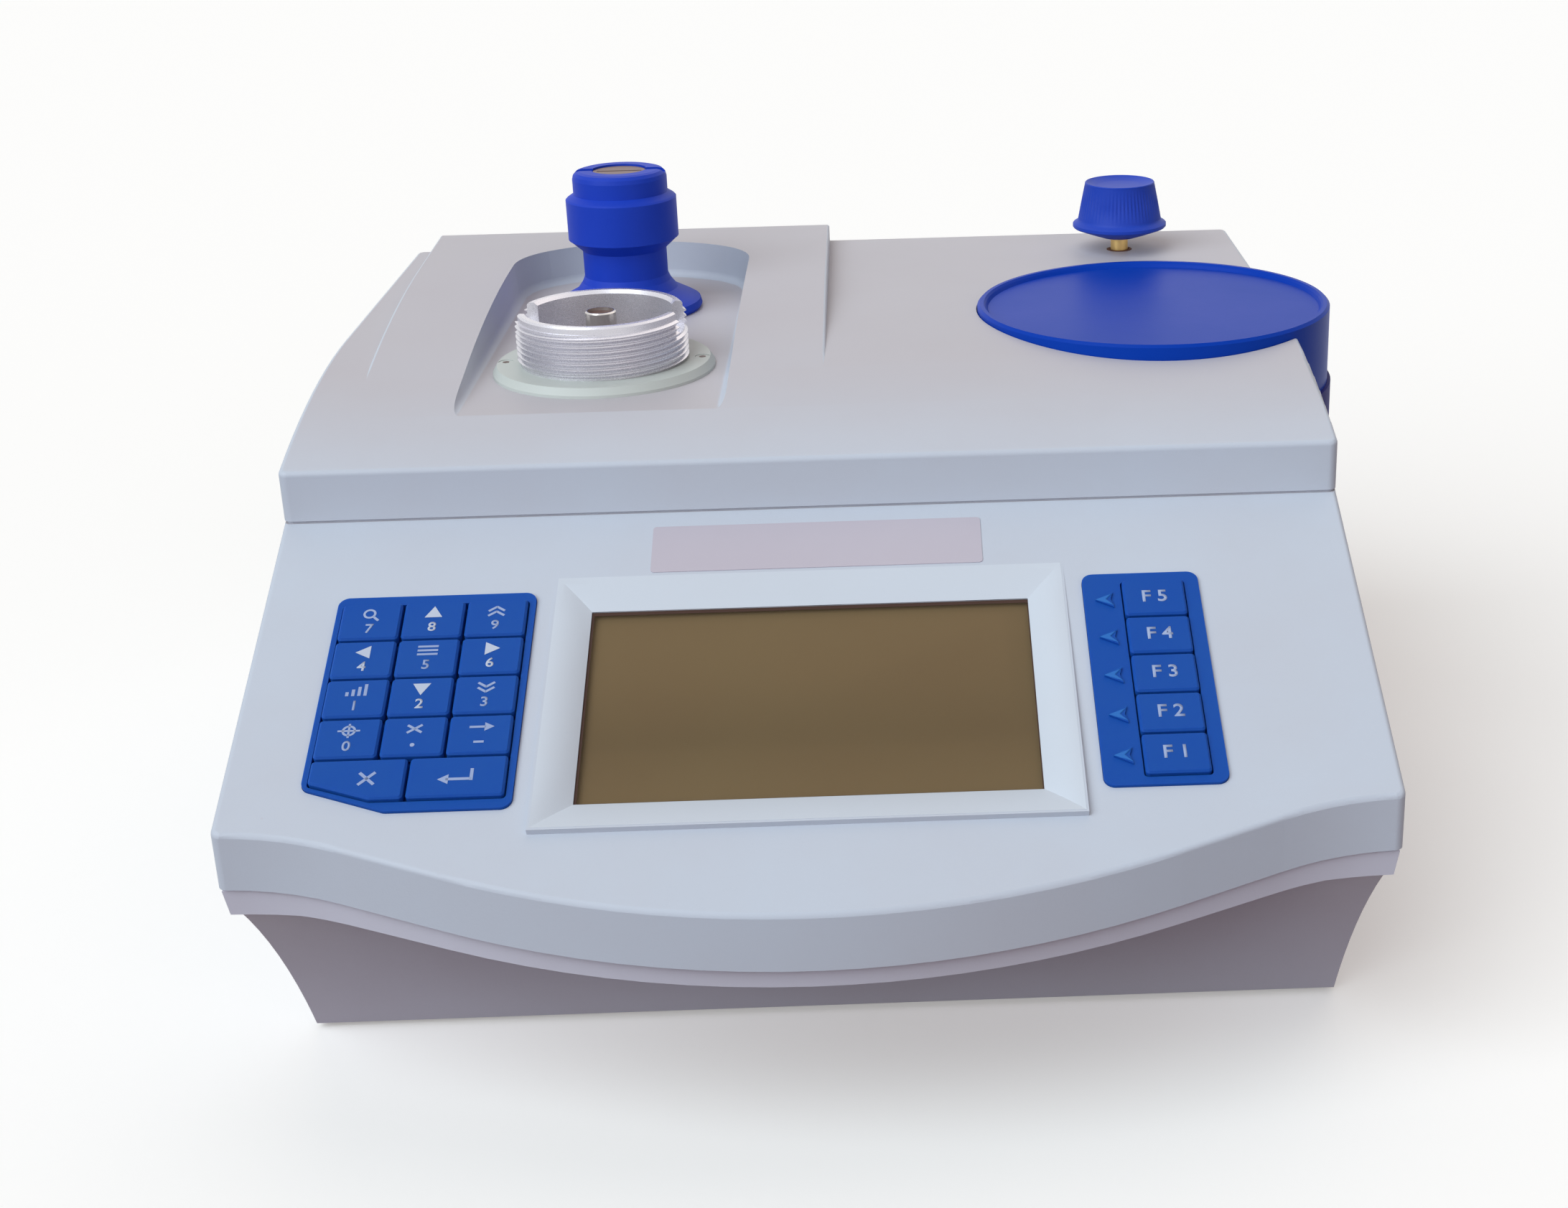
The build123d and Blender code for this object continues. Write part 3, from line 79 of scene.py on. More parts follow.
lens = bpy.data.cameras.new("operator_view")
lens.sensor_fit = "HORIZONTAL"
lens.sensor_width = 36
lens.lens = focal_pixels / image_width * lens.sensor_width
lens.shift_x = (image_width / 2 - axis_column) / image_width
lens.shift_y = (axis_row - image_height / 2) / image_width
lens.clip_start = 0.05
lens.clip_end = 50
camera = bpy.data.objects.new("operator_view", lens)
facing = Matrix((right, upward, -forward)).transposed().to_4x4()
camera.matrix_world = Matrix.Translation(eye) @ facing
bpy.context.scene.collection.objects.link(camera)
bpy.context.scene.camera = camera
bpy.context.scene.view_settings.view_transform = "Standard"


# ---------------------------------------------------------------- bench and light
# A plain white bench top and a soft, even studio. The bench looks white but throws back only a
# little warm light, so the plinth under the overhang stays in shade.
def tint(red, green, blue):
    """A colour as it is seen on a screen, 0 to 255, in the linear values that shaders take."""
    def linear(value):
        share = value / 255
        return share / 12.92 if share <= 0.04045 else ((share + 0.055) / 1.055) ** 2.4
    return (linear(red), linear(green), linear(blue), 1.0)


def link_new(data, name):
    piece = bpy.data.objects.new(name, data)
    bpy.context.scene.collection.objects.link(piece)
    return piece


def feed(tree, node, inputs):
    """Gives each input of a node its value, or joins it to the output that feeds it."""
    for socket, value in inputs.items():
        if isinstance(value, bpy.types.NodeSocket):
            tree.links.new(value, node.inputs[socket])
        else:
            node.inputs[socket].default_value = value


def add_node(tree, kind, inputs, **settings):
    node = tree.nodes.new(kind)
    for setting, value in settings.items():
        setattr(node, setting, value)
    feed(tree, node, inputs)
    return node


def calculated(tree, operation, *values):
    """The result of one step of arithmetic."""
    step = add_node(tree, "ShaderNodeMath", dict(enumerate(values)), operation=operation)
    return step.outputs[0]


def show_apart(tree, output, lighting, shown):
    """Lights the part by one shader, and shows another to the view, in shine and through glass."""
    ray = tree.nodes.new("ShaderNodeLightPath").outputs
    shiny_rays = calculated(tree, "MAXIMUM", ray["Is Glossy Ray"], ray["Is Transmission Ray"])
    seen_rays = calculated(tree, "MAXIMUM", ray["Is Camera Ray"], shiny_rays)
    choice = add_node(tree, "ShaderNodeMixShader", {
        "Fac": seen_rays, 1: lighting.outputs[0], 2: shown.outputs[0]})
    add_node(tree, output, {"Surface": choice.outputs[0]})


bench_half = 6.0
bench_shape = bmesh.new()
bmesh.ops.create_grid(bench_shape, x_segments=2, y_segments=2, size=bench_half)
bench_mesh = bpy.data.meshes.new("bench_top")
bench_shape.to_mesh(bench_mesh)
bench_shape.free()
bench = link_new(bench_mesh, "bench_top")

bench_paint = bpy.data.materials.new("bench_top")
bench_paint.use_nodes = True
tree = bench_paint.node_tree
tree.nodes.clear()
lit = add_node(tree, "ShaderNodeBsdfDiffuse", {"Color": tint(238, 236, 232)})
glow = add_node(tree, "ShaderNodeEmission", {"Color": (1.0, 0.98, 0.96, 1.0), "Strength": 0.26})
white = add_node(tree, "ShaderNodeAddShader", {0: lit.outputs[0], 1: glow.outputs[0]})
bounced = add_node(tree, "ShaderNodeBsdfDiffuse", {"Color": tint(88, 54, 66)})
show_apart(tree, "ShaderNodeOutputMaterial", bounced, white)
bench.data.materials.append(bench_paint)

studio = bpy.data.worlds.new("studio")
studio.use_nodes = True
bpy.context.scene.world = studio
tree = studio.node_tree
tree.nodes.clear()
room_light = add_node(tree, "ShaderNodeBackground", {
    "Color": (0.98, 0.97, 1.0, 1.0), "Strength": 0.16})
backdrop = add_node(tree, "ShaderNodeBackground", {
    "Color": (1.0, 1.0, 1.0, 1.0), "Strength": 1.0})
show_apart(tree, "ShaderNodeOutputWorld", room_light, backdrop)


def soft_light(name, toward, strength, spread, colour):
    """A broad, far light that falls on the whole bench alike."""
    lamp = bpy.data.lights.new(name, "SUN")
    lamp.energy = strength
    lamp.angle = math.radians(spread)
    lamp.color = colour
    holder = link_new(lamp, name)
    holder.matrix_world = Vector(toward).to_track_quat("Z", "Y").to_matrix().to_4x4()


soft_light("window_light", (-0.54, -0.54, 0.64), 2.56, 60, (0.90, 1.0, 1.07))
soft_light("ceiling_light", (0.15, 0.55, 0.82), 0.66, 70, (1.0, 0.86, 0.78))
soft_light("front_light", (0.52, -0.82, 0.24), 0.46, 50, (1.08, 0.94, 0.97))


# ---------------------------------------------------------------- housing mouldings
# The base, the control housing and the rear cover are injection mouldings in pale blue-grey
# styrene. The mould's fine spark grain dulls them, and handling leaves faint patches and specks.
def new_group(name, inputs, outputs):
    group = bpy.data.node_groups.new(name, "ShaderNodeTree")
    for label, kind, value in inputs:
        socket = group.interface.new_socket(label, in_out="INPUT", socket_type=kind)
        socket.default_value = value
    for label, kind in outputs:
        group.interface.new_socket(label, in_out="OUTPUT", socket_type=kind)
    return group, group.nodes.new("NodeGroupInput"), group.nodes.new("NodeGroupOutput")


def mixed(tree, factor, first, second, **settings):
    """A mix of two colours."""
    mix = add_node(tree, "ShaderNodeMix", {"Factor": factor, 6: first, 7: second},
                   data_type="RGBA", **settings)
    return mix.outputs[2]


def moulded_surface():
    """Colour, roughness and height of a grained moulding, read from Object coordinates."""
    group, given, made = new_group(
        "moulded_surface",
        [("Color", "NodeSocketColor", (0.5, 0.5, 0.5, 1)),
         ("Stain", "NodeSocketColor", (0.4, 0.35, 0.3, 1)),
         ("Roughness", "NodeSocketFloat", 0.5), ("Patchiness", "NodeSocketFloat", 0.05),
         ("Grain", "NodeSocketFloat", 1200.0), ("Specks", "NodeSocketFloat", 0.0),
         ("Painted_Top_Light", "NodeSocketFloat", 0.0)],
        [("Color", "NodeSocketColor"), ("Roughness", "NodeSocketFloat"),
         ("Height", "NodeSocketFloat")])
    place = group.nodes.new("ShaderNodeTexCoord").outputs
    given = given.outputs
    grain = add_node(group, "ShaderNodeTexNoise", {
        "Vector": place["Object"], "Scale": given["Grain"], "Detail": 3.0})
    patch = add_node(group, "ShaderNodeTexNoise", {
        "Vector": place["Object"], "Scale": 14.0, "Detail": 5.0, "Roughness": 0.6})
    spread = add_node(group, "ShaderNodeMapRange", {
        "Value": patch.outputs["Fac"], "From Min": 0.3, "From Max": 0.7,
        "To Max": given["Patchiness"]})
    toned = mixed(group, spread.outputs["Result"], given["Color"], given["Stain"])
    # in a few of the cells lies one speck
    cells = add_node(group, "ShaderNodeTexVoronoi", {"Vector": place["Object"], "Scale": 55.0})
    dot = add_node(group, "ShaderNodeMapRange", {
        "Value": cells.outputs["Distance"], "From Min": 0.035, "From Max": 0.02})
    drawn = add_node(group, "ShaderNodeSeparateColor", {"Color": cells.outputs["Color"]})
    rare = calculated(group, "GREATER_THAN", drawn.outputs["Red"], 0.86)
    speck = calculated(group, "MULTIPLY", dot.outputs["Result"], rare)
    amount = calculated(group, "MULTIPLY", speck, given["Specks"])
    dotted = mixed(group, amount, toned, given["Stain"])
    # painted light: the faces that are all but level take on the stain's warmer colour, standing in
    # for the warm light from above
    facing = add_node(group, "ShaderNodeSeparateXYZ", {"Vector": place["Normal"]})
    level = add_node(group, "ShaderNodeMapRange", {
        "Value": facing.outputs["Z"], "From Min": 0.955, "From Max": 0.995,
        "To Max": given["Painted_Top_Light"]})
    painted_top_lit = mixed(group, level.outputs["Result"], dotted, given["Stain"])
    dulled = calculated(group, "MULTIPLY_ADD", patch.outputs["Fac"], 0.12, given["Roughness"])
    feed(group, made, {"Color": painted_top_lit, "Roughness": dulled, "Height": grain.outputs["Fac"]})
    return group


moulded = moulded_surface()


def new_finish(name):
    """A material holding only a Principled BSDF and its output."""
    finish = bpy.data.materials.new(name)
    finish.use_nodes = True
    return finish, finish.node_tree, finish.node_tree.nodes["Principled BSDF"]


def moulding(name, colour, stain, roughness, patchiness, grain, depth, specks=0.0,
             gleam=0.3, painted_top_light=0.0):
    """A grained plastic in its own colour, with patches and specks of the stain's colour."""
    finish, tree, skin = new_finish(name)
    surface = add_node(tree, "ShaderNodeGroup", {
        "Color": colour, "Stain": stain, "Roughness": roughness, "Patchiness": patchiness,
        "Grain": grain, "Specks": specks, "Painted_Top_Light": painted_top_light}, node_tree=moulded)
    bump = add_node(tree, "ShaderNodeBump", {
        "Height": surface.outputs["Height"], "Distance": depth})
    feed(tree, skin, {
        "Base Color": surface.outputs["Color"], "Roughness": surface.outputs["Roughness"],
        "Normal": bump.outputs["Normal"], "Specular IOR Level": gleam})
    return finish


def dress(finish, *names):
    """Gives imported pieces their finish."""
    for name in names:
        mesh = nodes[name].data
        mesh.materials.clear()
        mesh.materials.append(finish)


# Painted light: the level faces of these mouldings are tinted warmer, standing in for the warm light
# from above.
styrene = moulding("pale_styrene", tint(196, 203, 214), tint(188, 181, 184), 0.42, 0.22, 1500,
                   0.00003, specks=0.35, painted_top_light=0.8)
dress(styrene, "control_housing", "rear_cover")

# The base is of the same styrene, painted lighter so that its flange shows as bright as the wall
# above, and painted shade darkens it to a dull brown in the hollow under its flange.
base_styrene_lit_and_shaded = moulding("base_styrene_lit_and_shaded", tint(214, 214, 226), tint(196, 188, 192), 0.42, 0.22,
                        1500, 0.00003, specks=0.35)
shade_reach = 0.07
tree = base_styrene_lit_and_shaded.node_tree
skin = tree.nodes["Principled BSDF"]
unshaded_colour = skin.inputs["Base Color"].links[0].from_socket
# Painted shade: ambient occlusion darkens the base towards a dull brown wherever it is hemmed in.
shade_occlusion = add_node(tree, "ShaderNodeAmbientOcclusion", {"Distance": shade_reach},
                  only_local=True, samples=16)
painted_shade = add_node(tree, "ShaderNodeMapRange", {
    "Value": shade_occlusion.outputs["AO"], "From Min": 0.98, "From Max": 0.5})
feed(tree, skin, {
    "Base Color": mixed(tree, painted_shade.outputs["Result"], unshaded_colour, tint(96, 58, 78))})
dress(base_styrene_lit_and_shaded, "base_shell")

# ---------------------------------------------------------------- feet and base screws
# Four round black rubber feet are pressed into the base, and four long zinc-plated screws come
# up through its pillars to hold the control housing down.
black_rubber = moulding("black_rubber", tint(30, 30, 32), tint(70, 68, 66), 0.75, 0.3, 900,
                        0.00004)
dress(black_rubber, "rubber_feet")


def metal(name, colour, roughness, line_scale=(1, 1, 1), line_depth=0.000004, streaks=0.1,
          metallic=1.0):
    """Bare metal with fine tool marks, stretched by line_scale on Object coordinates."""
    finish, tree, skin = new_finish(name)
    place = tree.nodes.new("ShaderNodeTexCoord")
    stretch = add_node(tree, "ShaderNodeMapping", {
        "Vector": place.outputs["Object"], "Scale": line_scale})
    marks = add_node(tree, "ShaderNodeTexNoise", {
        "Vector": stretch.outputs["Vector"], "Scale": 1800, "Detail": 4})
    patch = add_node(tree, "ShaderNodeMapRange", {
        "Value": marks.outputs["Fac"], "To Min": roughness - streaks,
        "To Max": roughness + streaks})
    bump = add_node(tree, "ShaderNodeBump", {
        "Height": marks.outputs["Fac"], "Distance": line_depth})
    feed(tree, skin, {
        "Base Color": colour, "Metallic": metallic, "Roughness": patch.outputs["Result"],
        "Normal": bump.outputs["Normal"]})
    return finish


zinc = metal("zinc_plate", tint(190, 190, 192), 0.38)
dress(zinc, "base_screws")

# ---------------------------------------------------------------- display
# A clear acrylic window sits in the sloping frame, with the unlit liquid crystal module pressed
# against its back. The unlit crystal is olive brown.
clear, tree, skin = new_finish("clear_acrylic")
feed(tree, skin, {
    "Base Color": tint(150, 132, 104), "Roughness": 0.1, "Specular IOR Level": 0.2, "Alpha": 0.1})
dress(clear, "display_window")

crystal, tree, skin = new_finish("liquid_crystal")
place = tree.nodes.new("ShaderNodeTexCoord").outputs["Object"]
cloud = add_node(tree, "ShaderNodeTexNoise", {"Vector": place, "Scale": 11, "Detail": 3})
weave = add_node(tree, "ShaderNodeTexNoise", {"Vector": place, "Scale": 1400})
tone = mixed(tree, cloud.outputs["Fac"], tint(127, 109, 76), tint(120, 95, 68))
woven = mixed(tree, 0.08, tone, weave.outputs["Fac"], blend_type="MULTIPLY")
feed(tree, skin, {"Base Color": woven, "Roughness": 0.6, "Specular IOR Level": 0.05})
dress(crystal, "lcd_module")

# ---------------------------------------------------------------- key mats and keys
# Each keypad is a blue silicone mat trapped behind the panel. Nineteen caps stand in the two
# mats, each on its own stem, and go down 1.2 mm square to the panel.
silicone = moulding("blue_silicone", tint(16, 76, 164), tint(40, 90, 162), 0.5, 0.35, 1100,
                    0.00002, gleam=0.12)
feed(silicone.node_tree, silicone.node_tree.nodes["Principled BSDF"], {
    "Subsurface Weight": 0.4, "Subsurface Radius": (0.2, 0.5, 1.0), "Subsurface Scale": 0.002})
key_nodes = sorted(name for name in nodes if name.startswith("key_"))
dress(silicone, "keypad_mat", "function_pad", *key_nodes)

# ---------------------------------------------------------------- legends
# The legends are pad-printed on the caps: plain digits, simple signs and numbered function keys in
# pale ink, and the four arrow keys in a whiter one. Each is a film that goes down with its key.
ink_film = 0.00004
ink_gap = 0.00001
same_level = 0.00001
press = next(j for j in frame["joints"] if j["name"] == "key_5_press")
panel_out = -Vector(press["axis"]).normalized()
panel_up = panel_out.cross(Vector((1, 0, 0)))
panel_turn = Matrix((Vector((1, 0, 0)), panel_up, panel_out)).transposed().to_4x4()

ink = moulding("pale_ink", tint(168, 182, 212), tint(120, 140, 190), 0.6, 0.5, 2500, 0.00001)
arrow_ink = moulding("arrow_ink", tint(204, 210, 220), tint(150, 164, 200), 0.6, 0.4, 2500,
                     0.00001)


def cap_top(name):
    """Middle of a key's top face."""
    corners = [v.co for v in nodes[name].data.vertices]
    across = [co.x for co in corners]
    high = max(co.dot(panel_out) for co in corners)
    up = [co.dot(panel_up) for co in corners if co.dot(panel_out) > high - same_level]
    middle_x = (min(across) + max(across)) / 2
    middle_up = (min(up) + max(up)) / 2
    return Vector((middle_x, 0, 0)) + panel_up * middle_up + panel_out * high


def stand_up(shape, height):
    """Turns faces drawn in the X-Y plane into closed blocks of one height."""
    raised = bmesh.ops.extrude_face_region(shape, geom=shape.faces[:])["geom"]
    bmesh.ops.translate(shape, vec=(0, 0, height),
                        verts=[g for g in raised if isinstance(g, bmesh.types.BMVert)])
    bmesh.ops.recalc_face_normals(shape, faces=shape.faces[:])


def mesh_from(shape, name):
    mesh = bpy.data.meshes.new(name)
    shape.to_mesh(mesh)
    shape.free()
    return mesh


def film_from(shape, name, thickness=ink_film):
    """Makes a thin closed film of faces drawn in the X-Y plane."""
    stand_up(shape, thickness)
    return mesh_from(shape, name)


def add_letters(shape, words, size, middle_y, spacing=1.12):
    """Adds flat letters, a little bolder than the font's own."""
    curve = bpy.data.curves.new("letters", "FONT")
    curve.body = words
    curve.size = size
    curve.align_x = "CENTER"
    curve.align_y = "CENTER"
    curve.offset = size * letter_weight
    curve.space_character = spacing
    curve.resolution_u = 4
    writer = link_new(curve, "letters")
    bpy.context.view_layer.update()
    flat = bpy.data.meshes.new_from_object(writer)
    flat.transform(Matrix.Translation((0, middle_y, 0)))
    shape.from_mesh(flat)
    bpy.data.objects.remove(writer)
    bpy.data.curves.remove(curve)
    bpy.data.meshes.remove(flat)


def add_bar(shape, x, y, width, height, turn=0.0):
    made = bmesh.ops.create_grid(shape, x_segments=1, y_segments=1, size=0.5)
    bmesh.ops.scale(shape, vec=(width, height, 1), verts=made["verts"])
    bmesh.ops.rotate(shape, matrix=Matrix.Rotation(turn, 3, "Z"), verts=made["verts"])
    bmesh.ops.translate(shape, vec=(x, y, 0), verts=made["verts"])


def add_arrow(shape, x, y, size, turn):
    made = bmesh.ops.create_circle(shape, cap_ends=True, segments=3, radius=size)
    bmesh.ops.rotate(shape, matrix=Matrix.Rotation(turn, 3, "Z"), verts=made["verts"])
    bmesh.ops.translate(shape, vec=(x, y, 0), verts=made["verts"])


def add_ring(shape, x, y, outer, inner, sides=20):
    big = bmesh.ops.create_circle(shape, segments=sides, radius=outer)
    small = bmesh.ops.create_circle(shape, segments=sides, radius=inner)
    verts = big["verts"] + small["verts"]
    edges = {e for v in verts for e in v.link_edges}
    bmesh.ops.bridge_loops(shape, edges=list(edges))
    bmesh.ops.translate(shape, vec=(x, y, 0), verts=verts)


letter_weight = 0.018
function_size = 0.0068
function_spacing = 1.5
digit_size = 0.0052
digit_low = -0.0033
sign_high = 0.0027
stroke = 0.0008
bold = stroke * 1.2
fine = stroke * 0.8
upright_arrow = 0.0031
level_arrow = 0.0030
chevron_tilt = 0.62
quarter = math.pi / 2


def sign_for(shape, name):
    """Adds a key's upper mark: an arrow on four of them, a simple sign on nearly all the rest."""
    if name == "key_8":
        add_arrow(shape, 0, sign_high - 0.0003, upright_arrow, 0)
    elif name == "key_2":
        add_arrow(shape, 0, sign_high + 0.0006, upright_arrow, math.pi)
    elif name == "key_4":
        add_arrow(shape, 0.0004, sign_high, level_arrow, quarter)
    elif name == "key_6":
        add_arrow(shape, -0.0004, sign_high, level_arrow, -quarter)
    elif name in ("key_9", "key_3"):
        rise = 1 if name == "key_9" else -1
        for level in (-0.0011, 0.0009):
            for side in (-1, 1):
                add_bar(shape, side * 0.0012, sign_high + level, 0.0031, stroke,
                        -side * rise * chevron_tilt)
    elif name == "key_7":
        add_ring(shape, -0.0005, sign_high + 0.0004, 0.0020, 0.0013)
        add_bar(shape, 0.0016, sign_high - 0.0017, 0.0024, stroke, -quarter / 2)
    elif name == "key_5":
        for level in (-0.0016, 0.0, 0.0016):
            add_bar(shape, 0, sign_high + level, 0.0062, stroke)
    elif name == "key_1":
        for step in range(4):
            add_bar(shape, -0.0027 + step * 0.0018, sign_high - 0.0012 + step * 0.0005,
                    bold, 0.0016 + step * 0.0010)
    elif name == "key_0":
        add_ring(shape, 0, sign_high, 0.0021, 0.0014)
        add_bar(shape, 0, sign_high, 0.0066, fine)
        add_bar(shape, 0, sign_high, fine, 0.0054)
    elif name == "key_point":
        for turn in (-0.6, 0.6):
            add_bar(shape, 0, sign_high, 0.0052, stroke, turn)
    elif name == "key_minus":
        add_bar(shape, -0.0008, sign_high, 0.0048, stroke)
        add_arrow(shape, 0.0022, sign_high, 0.0019, -quarter)


for name in key_nodes:
    shape = bmesh.new()
    mark = name.removeprefix("key_")
    if mark.isdigit():
        add_letters(shape, mark, digit_size, digit_low)
    elif mark == "point":
        add_ring(shape, 0, digit_low - 0.0002, 0.0007, 0.00002, 12)
    elif mark == "minus":
        add_bar(shape, 0, digit_low + 0.0002, 0.0030, stroke)
    elif mark.startswith("f"):
        add_letters(shape, mark.upper(), function_size, 0, function_spacing)
    elif mark == "enter":
        add_bar(shape, 0.0006, -0.0012, 0.0074, bold)
        add_bar(shape, 0.0042, 0.0004, bold, 0.0044)
        add_arrow(shape, -0.0034, -0.0012, 0.0021, quarter)
    elif mark == "cancel":
        for turn in (-quarter / 2, quarter / 2):
            add_bar(shape, 0.003, 0, 0.0064, bold, turn)
    sign_for(shape, name)
    film = film_from(shape, "legend_" + mark)
    film.transform(Matrix.Translation(cap_top(name) + panel_out * ink_gap) @ panel_turn)
    legend = link_new(film, "legend_" + mark)
    film.materials.append(arrow_ink if mark in ("2", "4", "6", "8") else ink)
    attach(legend, name)

# ---------------------------------------------------------------- pointers on the function pad
# Five notched arrowheads are moulded on the function mat's left margin, one pointing from each
# function key towards the display. Their worn tops are a lighter blue.
pointer_half = 0.0028
pointer_spread = 0.0025
pointer_notch = 0.0022
pointer_cap = 0.00035
pointer_bevel = 0.0003
pointer_sunk = 0.00005
rubbed = moulding("rubbed_silicone", tint(44, 108, 186), tint(60, 120, 190), 0.5, 0.5, 1100,
                  0.00002, gleam=0.12)
pad_top = max(v.co.dot(panel_out) for v in nodes["function_pad"].data.vertices)
raised_x = [v.co.x for v in nodes["function_pad"].data.vertices
            if v.co.dot(panel_out) > pad_top - same_level]
pointer_x = (min(raised_x) + max(raised_x)) / 2
for name in key_nodes:
    if not name.startswith("key_f"):
        continue
    pointer = bmesh.new()
    bmesh.ops.create_circle(pointer, cap_ends=True, segments=4, radius=pointer_half)
    for corner in pointer.verts:
        if abs(corner.co.y) > pointer_half / 2:
            corner.co = Vector((pointer_half, math.copysign(pointer_spread, corner.co.y), 0))
        elif corner.co.x > 0:
            corner.co.x = pointer_half - pointer_notch
    stand_up(pointer, pointer_cap)
    top_edges = [e for e in pointer.edges if all(v.co.z > pointer_cap / 2 for v in e.verts)]
    bmesh.ops.bevel(pointer, geom=top_edges, offset=pointer_bevel, segments=3, profile=0.5,
                    affect="EDGES", material=-1)
    pointer_mesh = mesh_from(pointer, "pointer_" + name.removeprefix("key_"))
    row_up = cap_top(name).dot(panel_up)
    seat = (Vector((pointer_x, 0, 0)) + panel_up * row_up
            + panel_out * (pad_top - pointer_sunk))
    pointer_mesh.transform(Matrix.Translation(seat) @ panel_turn)
    pointer_mesh.materials.append(rubbed)
    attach(link_new(pointer_mesh, pointer_mesh.name), "housing")

# ---------------------------------------------------------------- display surround
# A smooth moulded surround lies in the raised frame and falls in a soft, crowned slope from its
# ridge to the glass. It is pressed in from the front and glued along its back. All of its sizes
# are in the panel's own directions, from the middle of the glass.
glass_half_x = 0.06765
glass_half_y = 0.03855
glass_depth = -0.0026
ridge_half_x = 0.0787
ridge_low = -0.05025
ridge_high = 0.0513
ridge_rise = 0.00199
side_crown = 0.0009
end_crown = 0.0003
surround_thickness = 0.0003
surround_lift = 0.00006
window_to_panel = 0.0038
slope_cuts = 13
crown_blend = 1.2
mitre_angle = 14


def add_square(shape):
    """Four corners joined in a ring, each to be moved to its own place."""
    corners = bmesh.ops.create_circle(shape, segments=4, radius=1)["verts"]
    bmesh.ops.rotate(shape, matrix=Matrix.Rotation(quarter / 2, 3, "Z"), verts=corners)
    return corners


surround = bmesh.new()
glass_edge = add_square(surround)
ridge_edge = add_square(surround)
for corner in glass_edge:
    corner.co = Vector((math.copysign(glass_half_x, corner.co.x),
                        math.copysign(glass_half_y, corner.co.y), glass_depth))
for corner in ridge_edge:
    lower = corner.co.y < 0
    corner.co = Vector((math.copysign(ridge_half_x, corner.co.x),
                        ridge_low if lower else ridge_high, ridge_rise if lower else 0))
bmesh.ops.bridge_loops(surround, edges=surround.edges[:])
bmesh.ops.subdivide_edges(surround, edges=surround.edges[:], cuts=slope_cuts,
                          use_grid_fill=True)
for point in surround.verts:
    side = (abs(point.co.x) - glass_half_x) / (ridge_half_x - glass_half_x)
    end = max((point.co.y - glass_half_y) / (ridge_high - glass_half_y),
              (-glass_half_y - point.co.y) / (-glass_half_y - ridge_low))
    out = max(side, end)
    share = min(1, max(0, crown_blend * (side - end)))
    crown = (end_crown + (side_crown - end_crown) * share) * 4 * out * (1 - out)
    point.co.z += crown + surround_lift - surround_thickness
surround_mesh = film_from(surround, "display_surround", surround_thickness)
surround_mesh.shade_smooth()
surround_mesh.set_sharp_from_angle(angle=math.radians(mitre_angle))
glass_corners = [v.co for v in nodes["display_window"].data.vertices]
glass_middle = sum(glass_corners, Vector()) / len(glass_corners)
surround_mesh.transform(Matrix.Translation(glass_middle + panel_out * window_to_panel)
                        @ panel_turn)
surround_finish = moulding("surround_styrene", tint(204, 211, 220), tint(196, 196, 200), 0.4,
                           0.2, 1500, 0.00003)
surround_mesh.materials.append(surround_finish)
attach(link_new(surround_mesh, "display_surround"), "housing")

# Painted shadow: a dark band lies on the glass where the frame's shadow falls, widest along its top,
# narrower down the left side and thin along the other two.
shadow_band_top = 0.0014
shadow_band_left = 0.0008
shadow_band_rest = 0.0004
shadow_band_inset = 0.00005
glass_front = 0.0008
shadow_band = bmesh.new()
outer = add_square(shadow_band)
inner = add_square(shadow_band)
for corner in outer:
    corner.co = Vector((math.copysign(glass_half_x - shadow_band_inset, corner.co.x),
                        math.copysign(glass_half_y - shadow_band_inset, corner.co.y), 0))
for corner in inner:
    corner.co = Vector((
        glass_half_x - shadow_band_rest if corner.co.x > 0 else shadow_band_left - glass_half_x,
        glass_half_y - shadow_band_top if corner.co.y > 0 else shadow_band_rest - glass_half_y, 0))
bmesh.ops.bridge_loops(shadow_band, edges=shadow_band.edges[:])
shadow_band_mesh = film_from(shadow_band, "glass_shadow_band")
shadow_band_mesh.transform(Matrix.Translation(glass_middle + panel_out * (glass_front + ink_gap))
                      @ panel_turn)
shadow_paint = moulding("shadow_paint", tint(78, 58, 50), tint(60, 42, 40), 0.6, 0.3, 900, 0.00001,
                      gleam=0.1)
shadow_band_mesh.materials.append(shadow_paint)
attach(link_new(shadow_band_mesh, "glass_shadow_band"), "housing")

# ---------------------------------------------------------------- bare label strip
# A plain paper label under clear film, left without print, is stuck on the panel above the
# display. Its corners are rounded.
strip_width = 0.1045
strip_height = 0.0206
strip_film = 0.00025
strip_corner = 0.0012
strip_aside = -0.0086
strip_up = 0.1103
front_corner_y = -0.17304
panel_height = 0.0956

paper = moulding("label_paper", tint(192, 185, 195), tint(182, 172, 182), 0.3, 0.3, 700,
                 0.00001)
strip = bmesh.new()
bmesh.ops.create_cube(strip, size=1)
bmesh.ops.scale(strip, vec=(strip_width, strip_height, strip_film), verts=strip.verts[:])
upright = [e for e in strip.edges if abs(e.verts[0].co.z - e.verts[1].co.z) > strip_film / 2]
bmesh.ops.bevel(strip, geom=upright, offset=strip_corner, segments=4, profile=0.5,
                affect="EDGES", material=-1)
strip_mesh = mesh_from(strip, "bare_label")
strip_place = (Vector((strip_aside, front_corner_y, panel_height)) + panel_up * strip_up
               + panel_out * strip_film / 2)
strip_mesh.transform(Matrix.Translation(strip_place) @ panel_turn)
strip_mesh.materials.append(paper)
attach(link_new(strip_mesh, "bare_label"), "housing")

